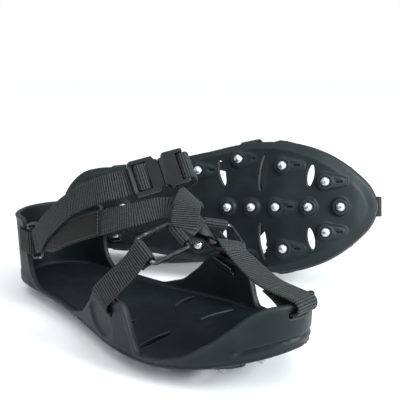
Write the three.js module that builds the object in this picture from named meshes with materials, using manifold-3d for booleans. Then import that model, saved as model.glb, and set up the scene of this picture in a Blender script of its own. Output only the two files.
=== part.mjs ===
// A pair of strap-on rubber ice cleats: two studded overshoes with webbing harnesses.
// Units are millimetres. +X points to the toe of the standing cleat, +Y to its far side, +Z up.

import * as THREE from 'three';
import { mergeVertices } from 'three/addons/utils/BufferGeometryUtils.js';
import Module from 'manifold-3d';

const wasm = await Module();
wasm.setup();

const V = (x, y, z) => new THREE.Vector3(x, y, z);
const RAD = Math.PI / 180;

// ---- Driving dimensions ----

const LENGTH = 316;             // heel to toe over the rubber
const HALF = LENGTH / 2;
const GAP = 0.35;               // clearance between pieces that touch

const WEB_WIDTH = 20;           // harness webbing
const WEB_THICK = 1.8;
const RING_WIRE = 1.6;          // radius of the bent-wire rings
const RING_SPAN = 28;           // between opposite wire centres of a ring
const RING_BEND = 2.2;          // how far from a corner the wire starts to bend

const STUD_TIP = 4.6;           // radius and height of a stud's domed head
const STUD_SHANK = 2.8;
const STUD_DEPTH = 10.4;        // from the tip to the end of the shank
const BOSS_RADIUS = 8;
const BOSS_FACE = 4.9;          // height of the boss's face over the stud tips

const SOLE_BOTTOM = 7;          // sole plate over the stud tips
const SOLE_THICK = 6;
const SOLE_BEVEL = 5;
const WALL = 4;
const WALL_FLARE = 0.03;        // outward lean of the wall, per unit of height
const TOE_SPRING = 20;          // rise of the sole at the toe tip
const SPRING_START = 62;        // where the rise begins

const BUCKLE_LENGTH = 43;
const BUCKLE_WIDTH = 27;
const BUCKLE_THICK = 8;

// Half outline of the rubber in plan, from the middle of the heel to the middle of the toe.
const OUTLINE = [
  [-158, 0], [-155.5, 14], [-148, 26], [-135, 36.5], [-118, 40.5], [-80, 43], [-40, 47],
  [0, 55], [38, 62], [70, 62], [95, 57], [118, 47.5], [138, 33], [152, 18], [158, 0],
];

// Top edge of the rubber, as [x, height over the stud tips], the same on both sides.
const RIM = [
  [-158, 76], [-118, 76], [-112, 72], [-110.5, 42], [-106, 26], [-98, 18], [-88, 15.5], [-30, 15.5],
  [-8, 23], [9, 38], [19, 51], [26, 54], [46, 47], [53, 51], [58, 50], [64, 34], [70, 18],
  [88, 19], [105, 25], [123, 38], [133, 48], [141, 57], [149, 62], [158, 63],
];

// Stud places as [x, y]; a stud off the centre line has a mirrored twin.
const STUDS = [
  [126, 0], [96, 0], [65, 0], [42, 0], [19, 0], [112, 23.5], [72, 39], [30, 46], [-10, 36],
  [-88, 0], [-96, 26], [-134, 18],
];

// Flex slots through the sole plate, as outer end and inner end; each has a mirrored twin.
const FLEX_SLOTS = [
  [[100, 41.5], [96, 18]],
  [[56, 52], [51, 13]],
  [[11, 48], [17, 19]],
];
const FLEX_SLOT_WIDTH = 6;

// ---- Shared helpers ----

const rise = (x) => TOE_SPRING * Math.max(0, (x - SPRING_START) / (HALF - SPRING_START)) ** 2;

const riseAngle = (x) => Math.atan(
  2 * TOE_SPRING * Math.max(0, x - SPRING_START) / (HALF - SPRING_START) ** 2,
);

function tableValue(table, x) {
  const next = table.findIndex(([at]) => at >= x);
  const i = next < 0 ? table.length - 1 : Math.max(1, next);
  const [x0, y0] = table[i - 1];
  const [x1, y1] = table[i];
  const t = THREE.MathUtils.clamp((x - x0) / (x1 - x0), 0, 1);
  return y0 + (y1 - y0) * t;
}

function closedMesh(points, triangles) {
  const geometry = new THREE.BufferGeometry();
  const numbers = points.flatMap((p) => [p.x, p.y, p.z]);
  geometry.setAttribute('position', new THREE.Float32BufferAttribute(numbers, 3));
  geometry.setIndex(triangles);
  return geometry;
}

// Joins a row of equal sections into a tube; each section is a list of points. The tube has flat
// ends, or runs round into its own start when it is a ring.
function loft(sections, ring = false) {
  const size = sections[0].length;
  const triangles = [];
  const spans = ring ? sections.length : sections.length - 1;
  for (let s = 0; s < spans; s++) {
    const next = (s + 1) % sections.length;
    for (let k = 0; k < size; k++) {
      const [a, b] = [s * size + k, s * size + (k + 1) % size];
      const [c, d] = [next * size + (k + 1) % size, next * size + k];
      triangles.push(a, b, c, a, c, d);
    }
  }
  const last = (sections.length - 1) * size;
  for (let k = 1; k < size - 1 && !ring; k++) {
    triangles.push(0, k + 1, k);
    triangles.push(last, last + k, last + k + 1);
  }
  return outward(closedMesh(sections.flat(), triangles));
}

// Turns a mesh's faces out when its signed volume is negative.
function outward(geometry) {
  const p = geometry.attributes.position;
  const index = geometry.index.array;
  const [a, b, c] = [V(), V(), V()];
  let volume = 0;
  for (let i = 0; i < index.length; i += 3) {
    a.fromBufferAttribute(p, index[i]);
    b.fromBufferAttribute(p, index[i + 1]);
    c.fromBufferAttribute(p, index[i + 2]);
    volume += a.dot(b.cross(c));
  }
  if (volume < 0) {
    for (let i = 0; i < index.length; i += 3) {
      [index[i], index[i + 1]] = [index[i + 1], index[i]];
    }
  }
  return geometry;
}

function toSolid(geometry) {
  const bare = geometry.clone();
  bare.deleteAttribute('normal');
  bare.deleteAttribute('uv');
  const merged = mergeVertices(bare, 1e-4);
  return new wasm.Manifold(new wasm.Mesh({
    numProp: 3,
    vertProperties: new Float32Array(merged.attributes.position.array),
    triVerts: new Uint32Array(merged.index.array),
  }));
}

function toGeometry(solid) {
  const mesh = solid.getMesh();
  const geometry = new THREE.BufferGeometry();
  geometry.setAttribute('position', new THREE.BufferAttribute(new Float32Array(mesh.vertProperties), 3));
  geometry.setIndex(new THREE.BufferAttribute(new Uint32Array(mesh.triVerts), 1));
  return geometry;
}

const placed = (geometry, matrix) => toSolid(geometry.clone().applyMatrix4(matrix));

// A matrix whose local axes are the three given directions.
function frameAt(origin, xAxis, yAxis, zAxis) {
  return new THREE.Matrix4().makeBasis(xAxis, yAxis, zAxis).setPosition(origin);
}

// ---- Rubber overshoe ----

const outlineCurve = new THREE.CatmullRomCurve3(
  [...OUTLINE, ...OUTLINE.slice(1, -1).reverse().map(([x, y]) => [x, -y])].map(([x, y]) => V(x, y, 0)),
  true,
  'centripetal',
);

// Curve parameter where the far side of the outline reaches x.
function outlineParameter(x) {
  let [low, high] = [0, 0.5];
  for (let i = 0; i < 30; i++) {
    const middle = (low + high) / 2;
    if (outlineCurve.getPoint(middle).x < x) low = middle;
    else high = middle;
  }
  return low;
}

const halfWidth = (x) => outlineCurve.getPoint(outlineParameter(x)).y;

// Stations on the far side, heel to toe: even steps, plus every corner of the rim.
function outlineStations() {
  const even = Array.from({ length: 19 }, (_, i) => i / 36);
  const corners = RIM.slice(1, -1).map(([x]) => outlineParameter(x));
  const all = [...corners, ...even].filter((t, i, list) => i < corners.length
    || corners.every((c) => Math.abs(c - t) > 0.006));
  return all.sort((a, b) => a - b).map((t) => {
    const tangent = outlineCurve.getTangent(t);
    return { point: outlineCurve.getPoint(t), normal: V(-tangent.y, tangent.x, 0) };
  });
}

// One section of the wall: bottom edge, side, rim outside, rim inside, floor edge.
function wallSection({ point, normal }) {
  const bottom = SOLE_BOTTOM + rise(point.x);
  const floor = bottom + SOLE_THICK;
  const rim = Math.max(tableValue(RIM, point.x), floor + 2);
  const flare = WALL_FLARE * (rim - bottom);
  const at = (offset, z) => V(point.x + normal.x * offset, point.y + normal.y * offset, z);
  return [
    at(-SOLE_BEVEL, bottom),
    at(0, bottom + SOLE_BEVEL),
    at(flare, rim),
    at(flare - WALL, rim),
    at(-WALL - 1, floor),
  ];
}

function overshoeShell() {
  const far = outlineStations().map(wallSection);
  const near = far.slice(1, -1).reverse().map((section) => section.map((p) => V(p.x, -p.y, p.z)));
  const around = [...far, ...near];
  const count = around.length;
  const rings = far[0].length;
  const triangles = [];
  for (let i = 0; i < count; i++) {
    for (let k = 0; k < rings - 1; k++) {
      const a = i * rings + k;
      const b = ((i + 1) % count) * rings + k;
      triangles.push(a, b, b + 1, a, b + 1, a + 1);
    }
  }
  // The bottom and the floor are strips from the far side across to the near side.
  for (let i = 0; i < far.length - 1; i++) {
    const acrossNow = (count - i) % count;
    const acrossNext = count - i - 1;
    for (const [ring, up] of [[0, false], [rings - 1, true]]) {
      const [a, b, c, d] = [i, i + 1, acrossNext, acrossNow].map((s) => s * rings + ring);
      const quad = [[a, d, c], [a, c, b]].filter((t) => new Set(t).size === 3);
      quad.forEach(([p, q, r]) => triangles.push(...(up ? [p, r, q] : [p, q, r])));
    }
  }
  return outward(closedMesh(around.flat(), triangles));
}

// Local frame of a stud: its axis is square to the sole where it sits.
function studMatrix([x, y]) {
  return new THREE.Matrix4().makeRotationY(-riseAngle(x)).setPosition(x, y, rise(x));
}

const studPlaces = STUDS.flatMap(([x, y]) => (y === 0 ? [[x, 0]] : [[x, -y], [x, y]]));

function cylinderUp(radius, from, to, sides) {
  return new THREE.CylinderGeometry(radius, radius, to - from, sides)
    .rotateX(Math.PI / 2)
    .translate(0, 0, (from + to) / 2);
}

function flexSlot([outer, inner]) {
  const middle = V((outer[0] + inner[0]) / 2, (outer[1] + inner[1]) / 2, 0);
  const length = Math.hypot(outer[0] - inner[0], outer[1] - inner[1]);
  const angle = Math.atan2(outer[1] - inner[1], outer[0] - inner[0]);
  const side = (sign) => Array.from({ length: 5 }, (_, i) => {
    const t = -1 + i / 2;
    return new THREE.Vector2(sign * t * length / 2, sign * (1 - t * t) * FLEX_SLOT_WIDTH / 2);
  });
  const lens = new THREE.Shape([...side(1), ...side(-1).slice(1, -1)]);
  return new THREE.ExtrudeGeometry(lens, { depth: 30, bevelEnabled: false })
    .rotateZ(angle)
    .translate(middle.x, middle.y, 0);
}

// The slots that the straps pass through, in the wings, the heel cup and the toe cup.
const WING_BAR = V(35.5, 0, 46.9);            // middle of the rubber bar over a wing's slot
const WING_TILT = -20 * RAD;
const WING_BAR_HALF = 3.6;
const WING_EYE = 6.1;                         // radius of the side strap's turn round that bar
const HEEL_SLOT_X = -119.5;
const HEEL_BAR_TILT = 0.26;                   // lean of the heel ring's bars, as x over z
const TOE_SLOT_Z = 55.4;

function wallPoint(x, z, side) {
  const bottom = SOLE_BOTTOM + rise(x);
  return V(x, side * (halfWidth(x) - WALL / 2 + WALL_FLARE * (z - bottom)), z);
}

function wallDirection(x, side) {
  return V(2, side * (halfWidth(x + 1) - halfWidth(x - 1)), 0).normalize();
}

function strapSlots() {
  const cuts = [];
  for (const side of [-1, 1]) {
    const along = wallDirection(WING_BAR.x, side);
    const slotLine = along.clone().multiplyScalar(Math.cos(WING_TILT)).setZ(Math.sin(WING_TILT));
    const across = V(0, 0, 1).cross(along);
    const up = slotLine.clone().cross(across);
    const bar = wallPoint(WING_BAR.x, WING_BAR.z, side);
    const slotMiddle = bar.clone().addScaledVector(up, -(WING_BAR_HALF + 2.1));
    const wingFrame = frameAt(slotMiddle, slotLine, across, up);
    cuts.push(placed(new THREE.BoxGeometry(WEB_WIDTH + 2, 14, 3.9), wingFrame));

    const heelAlong = wallDirection(HEEL_SLOT_X, side);
    const heelAcross = V(0, 0, 1).cross(heelAlong);
    const heelMiddle = wallPoint(HEEL_SLOT_X, 56, side);
    const heelFrame = frameAt(heelMiddle, heelAlong, heelAcross, V(0, 0, 1));
    cuts.push(placed(new THREE.BoxGeometry(4.6, 14, WEB_WIDTH + 2), heelFrame));
  }
  cuts.push(placed(
    new THREE.BoxGeometry(20, WEB_WIDTH + 2, 3.6),
    new THREE.Matrix4().makeTranslation(HALF, 0, TOE_SLOT_Z),
  ));
  return cuts;
}

// The rubber body; withStuds also joins the stud heads on, as one moulded solid.
function overshoe(withStuds) {
  let body = toSolid(overshoeShell());
  for (const place of studPlaces) {
    const matrix = studMatrix(place);
    body = body.add(placed(cylinderUp(BOSS_RADIUS, BOSS_FACE, SOLE_BOTTOM + 3, 10), matrix));
  }
  for (const ends of FLEX_SLOTS) {
    for (const side of [-1, 1]) {
      body = body.subtract(toSolid(flexSlot(ends.map(([x, y]) => [x, side * y]))));
    }
  }
  for (const cut of strapSlots()) body = body.subtract(cut);
  for (const place of studPlaces) {
    const matrix = studMatrix(place);
    if (withStuds) body = body.add(placed(studHead(7), matrix));
    else body = body.subtract(placed(cylinderUp(STUD_SHANK + GAP * 1.5, 0, STUD_DEPTH + GAP, 8), matrix));
  }
  return toGeometry(body);
}

// ---- Studs ----

const studArc = [[0.9, 0], [2.9, 1.2], [4.1, 2.9], [STUD_TIP, 4.3]];

function studHead(sides) {
  const profile = [[0, 0], ...studArc, [STUD_TIP, BOSS_FACE + 1], [0, BOSS_FACE + 1]];
  return latheUp(profile, sides);
}

function stud() {
  const shank = [[STUD_SHANK, BOSS_FACE - GAP], [STUD_SHANK, STUD_DEPTH], [0, STUD_DEPTH]];
  return latheUp([[0, 0], ...studArc, ...shank], 10);
}

function latheUp(profile, sides) {
  const points = profile.map(([radius, z]) => new THREE.Vector2(radius, z));
  return outward(mergedLathe(new THREE.LatheGeometry(points, sides).rotateX(Math.PI / 2)));
}

// A lathe's seam and poles merged, with the flat triangles at its poles dropped.
function mergedLathe(geometry) {
  geometry.deleteAttribute('normal');
  geometry.deleteAttribute('uv');
  const merged = mergeVertices(geometry, 1e-4);
  const index = merged.index.array;
  const kept = [];
  for (let i = 0; i < index.length; i += 3) {
    const corner = [index[i], index[i + 1], index[i + 2]];
    if (new Set(corner).size === 3) kept.push(...corner);
  }
  merged.setIndex(kept);
  return merged;
}

// ---- Webbing ----

const WIRE_EYE = RING_WIRE + GAP + WEB_THICK / 2;   // middle of a strap sewn round a ring

// A band along a row of frames; each frame has a point p and the directions across (w) and through (n).
function band(frames, ring = false, width = WEB_WIDTH, thick = WEB_THICK) {
  const corners = [[-1, -1], [1, -1], [1, 1], [-1, 1]];
  return loft(frames.map(({ p, w, n }) => corners.map(([i, j]) => p.clone()
    .addScaledVector(w, i * width / 2)
    .addScaledVector(n, j * thick / 2))), ring);
}

// Frames along a smooth run through hand-placed points, each [point, outward direction].
function run(stops, steps) {
  const curve = new THREE.CatmullRomCurve3(stops.map(([p]) => p), false, 'centripetal');
  const lengths = stops.map((_, i) => i / (stops.length - 1));
  return Array.from({ length: steps + 1 }, (_, i) => {
    const t = i / steps;
    const s = Math.min(stops.length - 2, Math.floor(t * (stops.length - 1)));
    const mix = (t - lengths[s]) * (stops.length - 1);
    const facing = stops[s][1].clone().lerp(stops[s + 1][1], mix);
    return squareFrame(curve.getPoint(t), curve.getTangent(t), facing);
  });
}

function squareFrame(p, tangent, facing) {
  const n = facing.clone().addScaledVector(tangent, -facing.dot(tangent)).normalize();
  return { p, w: tangent.clone().cross(n).normalize(), n };
}

// The end of a strap on a bar. `away` points from the bar along the strap and `n` out of the
// strap's outer face; both are square to the bar's axis.
function endOn(bar, axis, toward, outside, radius = WIRE_EYE, lap = 0) {
  const away = squared(toward, axis);
  const n = away.clone().cross(axis).normalize();
  if (n.dot(outside) < 0) n.negate();
  return { bar, away, n, radius, lap };
}

// Frames of a half turn of webbing around a bar, from its outer side to its inner side.
function halfTurn({ bar, away, n, radius }) {
  return Array.from({ length: 7 }, (_, i) => {
    const angle = i * Math.PI / 6;
    const radial = n.clone().multiplyScalar(Math.cos(angle)).addScaledVector(away, -Math.sin(angle));
    const tangent = away.clone().multiplyScalar(-Math.cos(angle)).addScaledVector(n, -Math.sin(angle));
    return squareFrame(bar.clone().addScaledVector(radial, radius), tangent, radial);
  });
}

// The sewn lap after a half turn: it closes in under the strap and stops there.
function lapFrames({ bar, away, n, radius, lap }) {
  const under = radius - WEB_THICK - GAP;
  const back = (distance, offset) => squareFrame(
    bar.clone().addScaledVector(away, distance).addScaledVector(n, offset),
    away,
    n.clone().negate(),
  );
  if (lap === 0) return [];
  return [back(lap * 0.3, -radius * 0.9), back(lap * 0.65, -radius * 0.1), back(lap, under - 0.1)];
}

// The part of v that is square to an axis, as a unit vector.
function squared(v, axis) {
  return v.clone().addScaledVector(axis, -v.dot(axis)).normalize();
}

// The two stops that hold a strap straight as it leaves a bar; side is 1 outside, -1 inside.
function leaving({ bar, away, n, radius, lap }, side = 1) {
  return [1.2, lap + 3].map((distance) => [
    bar.clone().addScaledVector(away, distance).addScaledVector(n, radius * side),
    n,
  ]);
}

// Turns the frames of an end so that a strap can start with them.
const startWith = (frames) => frames.reverse().map(({ p, w, n }) => ({ p, w: w.clone().negate(), n }));

// A strap through hand-placed stops, sewn round a bar at each end that is given.
function strap(start, stops, end, steps) {
  const all = [
    ...(start ? leaving(start) : []),
    ...stops,
    ...(end ? leaving(end).reverse() : []),
  ];
  return band([
    ...(start ? startWith([...halfTurn(start), ...lapFrames(start)]) : []),
    ...run(all, steps),
    ...(end ? [...halfTurn(end), ...lapFrames(end)] : []),
  ]);
}

// ---- Wire rings ----

// A bent-wire ring through the corners of a flat frame, each corner rounded.
function wireRing({ centre, e1, e2, n }, corners) {
  const path = corners.flatMap(([a, b], i) => {
    const before = corners[(i + corners.length - 1) % corners.length];
    const after = corners[(i + 1) % corners.length];
    const toward = ([c, d]) => {
      const length = Math.hypot(c - a, d - b);
      return [a + (c - a) * RING_BEND / length, b + (d - b) * RING_BEND / length];
    };
    const [p, q] = [toward(before), toward(after)];
    const middle = [(p[0] + q[0] + 2 * a) / 4, (p[1] + q[1] + 2 * b) / 4];
    return [p, middle, q];
  });
  const point = ([a, b]) => centre.clone().addScaledVector(e1, a).addScaledVector(e2, b);
  const sides = 8;
  return loft(path.map((at, i) => {
    const p = point(at);
    const [before, after] = [-1, 1].map((step) => point(path[(i + step + path.length) % path.length]));
    const tangent = after.sub(before).normalize();
    const out = tangent.clone().cross(n).normalize();
    return Array.from({ length: sides }, (_, k) => {
      const angle = (k + 0.5) * 2 * Math.PI / sides;
      return p.clone()
        .addScaledVector(out, Math.cos(angle) * RING_WIRE)
        .addScaledVector(n, Math.sin(angle) * RING_WIRE);
    });
  }), true);
}

const HALF_SPAN = RING_SPAN / 2;
const RING_CORNERS = [[-1, -1], [1, -1], [1, 1], [-1, 1]];
const SQUARE_RING = RING_CORNERS.map(([a, b]) => [a * HALF_SPAN, b * HALF_SPAN]);

// A ring's flat frame: e2 points, at an angle from the toe direction, to the bar of the crossing
// strap, and e1 lies along that bar.
function ringFrame(centre, facing, angle) {
  const n = facing.clone().normalize();
  const toe = squared(V(1, 0, 0), n);
  const inward = n.clone().cross(toe);
  const e2 = toe.clone().multiplyScalar(Math.cos(angle)).addScaledVector(inward, Math.sin(angle));
  const e1 = e2.clone().cross(n);
  const bar = (a, b) => centre.clone().addScaledVector(e1, a * HALF_SPAN).addScaledVector(e2, b * HALF_SPAN);
  return { centre, e1, e2, n, bar };
}

// ---- Harness layout on one cleat ----

// Sides of the foot: on the right cleat the outer side is -Y and the inner side +Y.
const OUTER = -1;
const INNER = 1;
const sideName = (side) => (side === OUTER ? 'outer' : 'inner');

const OUTER_RING = ringFrame(V(61, -31.5, 86.5), V(0.3, -0.4, 0.87), 72 * RAD);
const INNER_RING = ringFrame(V(74, 14, 87), V(0.4, 0.1, 0.91), 250 * RAD);

const HEEL_RING_REACH = 17;                   // between the two upright bars of a heel ring
const HEEL_REAR_X = -105;
const HEEL_RING_Z = 56;
const HEEL_RING_HALF = HALF_SPAN + 0.8;       // half the height of a heel ring
const HEEL_RING_CORNERS = RING_CORNERS.map(([a, b]) => [
  a * HEEL_RING_HALF,
  b * HEEL_RING_REACH / 2,
]);

function heelRing(side) {
  const e2 = V(1, 0, HEEL_BAR_TILT).normalize();
  const e1 = V(-HEEL_BAR_TILT, 0, 1).normalize();
  const rear = wallPoint(HEEL_REAR_X, HEEL_RING_Z, side);
  const centre = rear.clone().addScaledVector(e2, HEEL_RING_REACH / 2);
  const front = rear.clone().addScaledVector(e2, HEEL_RING_REACH);
  return { centre, e1, e2, n: V(0, side, 0), front };
}

// The webbing loop that ties a heel ring to the upright of the heel cup.
function heelLoop(side) {
  const radius = WALL / 2 + 5 * GAP + WEB_THICK / 2;
  const slotEnd = wallPoint(HEEL_SLOT_X + radius, HEEL_RING_Z, side);
  const ringEnd = wallPoint(HEEL_REAR_X + 2.4, HEEL_RING_Z, side);
  const along = ringEnd.clone().sub(slotEnd).normalize();
  const out = V(0, 0, 1).cross(along);
  const half = (middle, from) => Array.from({ length: 6 }, (_, i) => {
    const angle = from + i * Math.PI / 5;
    const n = along.clone().multiplyScalar(Math.cos(angle)).addScaledVector(out, Math.sin(angle));
    return { p: middle.clone().addScaledVector(n, radius), w: V(0, 0, 1), n };
  });
  return band([...half(ringEnd, -Math.PI / 2), ...half(slotEnd, Math.PI / 2)], true);
}

// A strap's end on a heel ring's front bar; a second strap there is sewn over the first.
const OUTER_EYE = WIRE_EYE + WEB_THICK + GAP;

function heelEnd(side, radius, lap) {
  const ring = heelRing(side);
  return endOn(ring.front, ring.e1, ring.e2, ring.n, radius, lap);
}

// From an instep ring down to the wing, and round the rubber bar over the wing's slot.
function sideStrap(side) {
  const [bar, axis] = side === OUTER
    ? [OUTER_RING.bar(0, -1), OUTER_RING.e1]
    : [INNER_RING.bar(1, 0), INNER_RING.e2];
  const wing = wallPoint(WING_BAR.x, WING_BAR.z, side);
  const along = wallDirection(WING_BAR.x, side);
  const slotLine = along.clone().multiplyScalar(Math.cos(WING_TILT)).setZ(Math.sin(WING_TILT));
  const start = endOn(bar, axis, wing.clone().sub(bar), V(0.2, side * 0.8, 0.5), WIRE_EYE, 9);
  const end = endOn(wing, slotLine, V(0, 0, 1), V(0, side, 0), WING_EYE);
  return strap(start, [], end, 12);
}

// From the inner instep ring over the front of the foot, and round the rubber bar over the toe slot.
function toeStrap() {
  const barHeight = 60.2;
  const { bar, e1, e2, n } = INNER_RING;
  const start = endOn(bar(-1, 0), e2, e1.clone().negate(), n, WIRE_EYE, 8);
  const toeBar = V(HALF - 0.9, 0, barHeight);
  const end = endOn(toeBar, V(0, 1, 0), V(-1, 0, 0.12), V(0, 0, 1), barHeight - TOE_SLOT_Z, 24);
  return strap(start, [[V(106, 4.5, 76), V(0.35, 0, 0.93)]], end, 12);
}

// The crossing strap's turns round the two instep rings and its ends at the heel rings.
const INNER_TURN = endOn(INNER_RING.bar(0, 1), INNER_RING.e1, INNER_RING.e2, INNER_RING.n);
const OUTER_TURN = endOn(OUTER_RING.bar(0, 1), OUTER_RING.e1, OUTER_RING.e2, OUTER_RING.n);
const crossingEnd = (side) => heelEnd(side, WIRE_EYE, 9);

// The crossing strap's rise from the outer heel ring to the inner instep ring.
function crossingRise() {
  return run([
    ...leaving(crossingEnd(OUTER)),
    [V(-58, -48, 68), V(0, -1, 0.1)],
    [V(-28, -47.5, 81), V(0.05, -1, 0.2)],
    [V(4, -43, 92.5), V(0.2, -0.9, 0.45)],
    [V(27, -31, 100.5), V(0.5, -0.55, 0.75)],
    [V(45, -10, 105.5), V(0.5, -0.3, 0.8)],
    ...leaving(INNER_TURN).reverse(),
  ], 15);
}

// One strap makes the whole crossing: up from the outer heel ring, round the inner instep ring,
// back round the outer instep ring, and over itself down to the inner heel ring.
function crossingStrap() {
  const link = run([
    ...leaving(INNER_TURN, -1),
    ...leaving(OUTER_TURN, -1).reverse(),
  ].map(([p, n]) => [p, n.clone().negate()]), 4);
  const down = run([
    ...leaving(OUTER_TURN),
    [V(60, -7, 107.5), V(0.35, -0.35, 0.87)],
    [V(49, 7, 112), V(0.55, 0.1, 0.8)],
    [V(32, 27, 104.5), V(0.5, 0.55, 0.75)],
    [V(6, 43, 93.5), V(0.2, 0.9, 0.45)],
    [V(-28, 48, 81), V(0.05, 1, 0.2)],
    [V(-58, 48, 68), V(0, 1, 0.1)],
    ...leaving(crossingEnd(INNER)).reverse(),
  ], 16);
  return band([
    ...startWith([...halfTurn(crossingEnd(OUTER)), ...lapFrames(crossingEnd(OUTER))]),
    ...crossingRise(),
    ...halfTurn(INNER_TURN),
    ...link,
    ...startWith(halfTurn(OUTER_TURN)),
    ...down,
    ...halfTurn(crossingEnd(INNER)),
    ...lapFrames(crossingEnd(INNER)),
  ]);
}

const LABEL_THICK = 1;

// The blank label sewn on the crossing strap where it rises on the outer side.
function labelPatch() {
  const offset = (WEB_THICK + LABEL_THICK) / 2 + GAP;
  const frames = crossingRise()
    .filter(({ p }) => p.x > -54 && p.x < 6)
    .map(({ p, w, n }) => ({ p: p.clone().addScaledVector(n, offset), w, n }));
  return band(frames, false, WEB_WIDTH + 1, LABEL_THICK);
}

// ---- Ankle straps and side-release buckle ----

const BUCKLE_ALONG = V(0.427, 0.878, 0.216).normalize();
const BUCKLE_OUT = squared(V(0.854, -0.277, 0.432), BUCKLE_ALONG);
const BUCKLE_ACROSS = BUCKLE_OUT.clone().cross(BUCKLE_ALONG);
const BUCKLE_MATRIX = frameAt(V(27, -5, 128.5), BUCKLE_ALONG, BUCKLE_ACROSS, BUCKLE_OUT);
const BUCKLE_BACK = -BUCKLE_LENGTH / 2;       // the male half's end bar
const BUCKLE_FRONT = BUCKLE_LENGTH / 2;       // the female half's end bar
const BAR_WIDTH = 2.8;
const BAR_HALF = 1.35;                        // half thickness of every buckle bar
const WEB_SLOT = 4;                           // webbing slots in the buckle
const SLOT_HALF = WEB_WIDTH / 2 + 0.6;
const CENTRE_BAR = BUCKLE_BACK + BAR_WIDTH * 1.5 + WEB_SLOT;
const BODY_BACK = CENTRE_BAR + BAR_WIDTH / 2 + WEB_SLOT;
const BODY_FRONT = 1.5;
const MOUTH = BODY_FRONT + 0.4;               // where the female half begins
const POCKET_HALF = 2.4;
const THUMB_NOTCH = 4.3;                      // radius of the notches that bare the prongs' thumb pads
const PRONG_ROOT = 2.6;
const PRONG_TIP = 13.4;

// A block in buckle coordinates: along, across and through, each as [from, to].
function block([x0, x1], [y0, y1], [z0, z1]) {
  return toSolid(new THREE.BoxGeometry(x1 - x0, y1 - y0, z1 - z0)
    .translate((x0 + x1) / 2, (y0 + y1) / 2, (z0 + z1) / 2));
}

// A block with rounded corners in plan.
function roundedBlock([x0, x1], half, halfThick, corner) {
  const shape = new THREE.Shape();
  shape.moveTo(x0 + corner, -half);
  shape.lineTo(x1 - corner, -half);
  shape.quadraticCurveTo(x1, -half, x1, -half + corner);
  shape.lineTo(x1, half - corner);
  shape.quadraticCurveTo(x1, half, x1 - corner, half);
  shape.lineTo(x0 + corner, half);
  shape.quadraticCurveTo(x0, half, x0, half - corner);
  shape.lineTo(x0, -half + corner);
  shape.quadraticCurveTo(x0, -half, x0 + corner, -half);
  const options = { depth: halfThick * 2, bevelEnabled: false, curveSegments: 3 };
  return toSolid(new THREE.ExtrudeGeometry(shape, options).translate(0, 0, -halfThick));
}

const both = [-20, 20];

const thumbNotch = (side) => toSolid(
  cylinderUp(THUMB_NOTCH, -20, 20, 16).translate(MOUTH, side * (BUCKLE_WIDTH / 2 + 0.6), 0),
);
const inBuckle = (solid) => toGeometry(solid).applyMatrix4(BUCKLE_MATRIX);

function buckleMale() {
  const half = BUCKLE_WIDTH / 2;
  const [rearSlot, frontSlot] = [BUCKLE_BACK + BAR_WIDTH, CENTRE_BAR + BAR_WIDTH / 2];
  let male = roundedBlock([BUCKLE_BACK, BODY_FRONT], half, BUCKLE_THICK / 2 - 0.8, 3);
  for (const slot of [rearSlot, frontSlot]) {
    male = male.subtract(block([slot, slot + WEB_SLOT], [-SLOT_HALF, SLOT_HALF], both));
  }
  for (const z of [[BAR_HALF, 20], [-20, -BAR_HALF]]) {
    male = male.subtract(block([BUCKLE_BACK - 1, frontSlot + 0.1], [-SLOT_HALF, SLOT_HALF], z));
  }
  for (const side of [-1, 1]) male = male.subtract(thumbNotch(side));
  return inBuckle(male.add(block([0, PRONG_TIP - 2], [-4.8, 4.8], [-1.6, 1.6])));
}

// A springy prong; side is its place across the buckle.
function buckleProng(side) {
  const outline = [
    [PRONG_ROOT, 7.6], [PRONG_TIP - 0.6, 7.6], [PRONG_TIP, 9.2],
    [PRONG_TIP - 1.2, 10.9], [8.8, 10.9], [8.2, 10.2], [PRONG_ROOT, 10.2],
  ];
  const shape = new THREE.Shape(outline.map(([x, y]) => new THREE.Vector2(x, y)));
  const arm = new THREE.ExtrudeGeometry(shape, { depth: 3.6, bevelEnabled: false }).translate(0, 0, -1.8);
  const solid = toSolid(arm);
  return inBuckle(side > 0 ? solid : solid.mirror([0, 1, 0]));
}

function buckleFemale() {
  const half = BUCKLE_WIDTH / 2;
  const slot = [BUCKLE_FRONT - BAR_WIDTH - WEB_SLOT + 0.6, BUCKLE_FRONT - BAR_WIDTH];
  let female = roundedBlock([MOUTH, BUCKLE_FRONT], half, BUCKLE_THICK / 2, 2)
    .subtract(block([MOUTH - 1, PRONG_TIP + 0.4], [-11.3, 11.3], [-POCKET_HALF, POCKET_HALF]))
    .subtract(block(slot, [-SLOT_HALF, SLOT_HALF], both));
  for (const z of [[BAR_HALF, 20], [-20, -BAR_HALF]]) {
    female = female.subtract(block([slot[0], BUCKLE_FRONT + 1], [-SLOT_HALF, SLOT_HALF], z));
  }
  for (const side of [-1, 1]) {
    const window = side > 0 ? [11, 20] : [-20, -11];
    female = female
      .subtract(block([8.3, PRONG_TIP - 0.4], window, [-POCKET_HALF, POCKET_HALF]))
      .subtract(thumbNotch(side));
  }
  return inBuckle(female);
}

const ANKLE_PIVOT = V(-62, 50.6, 78);

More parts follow.
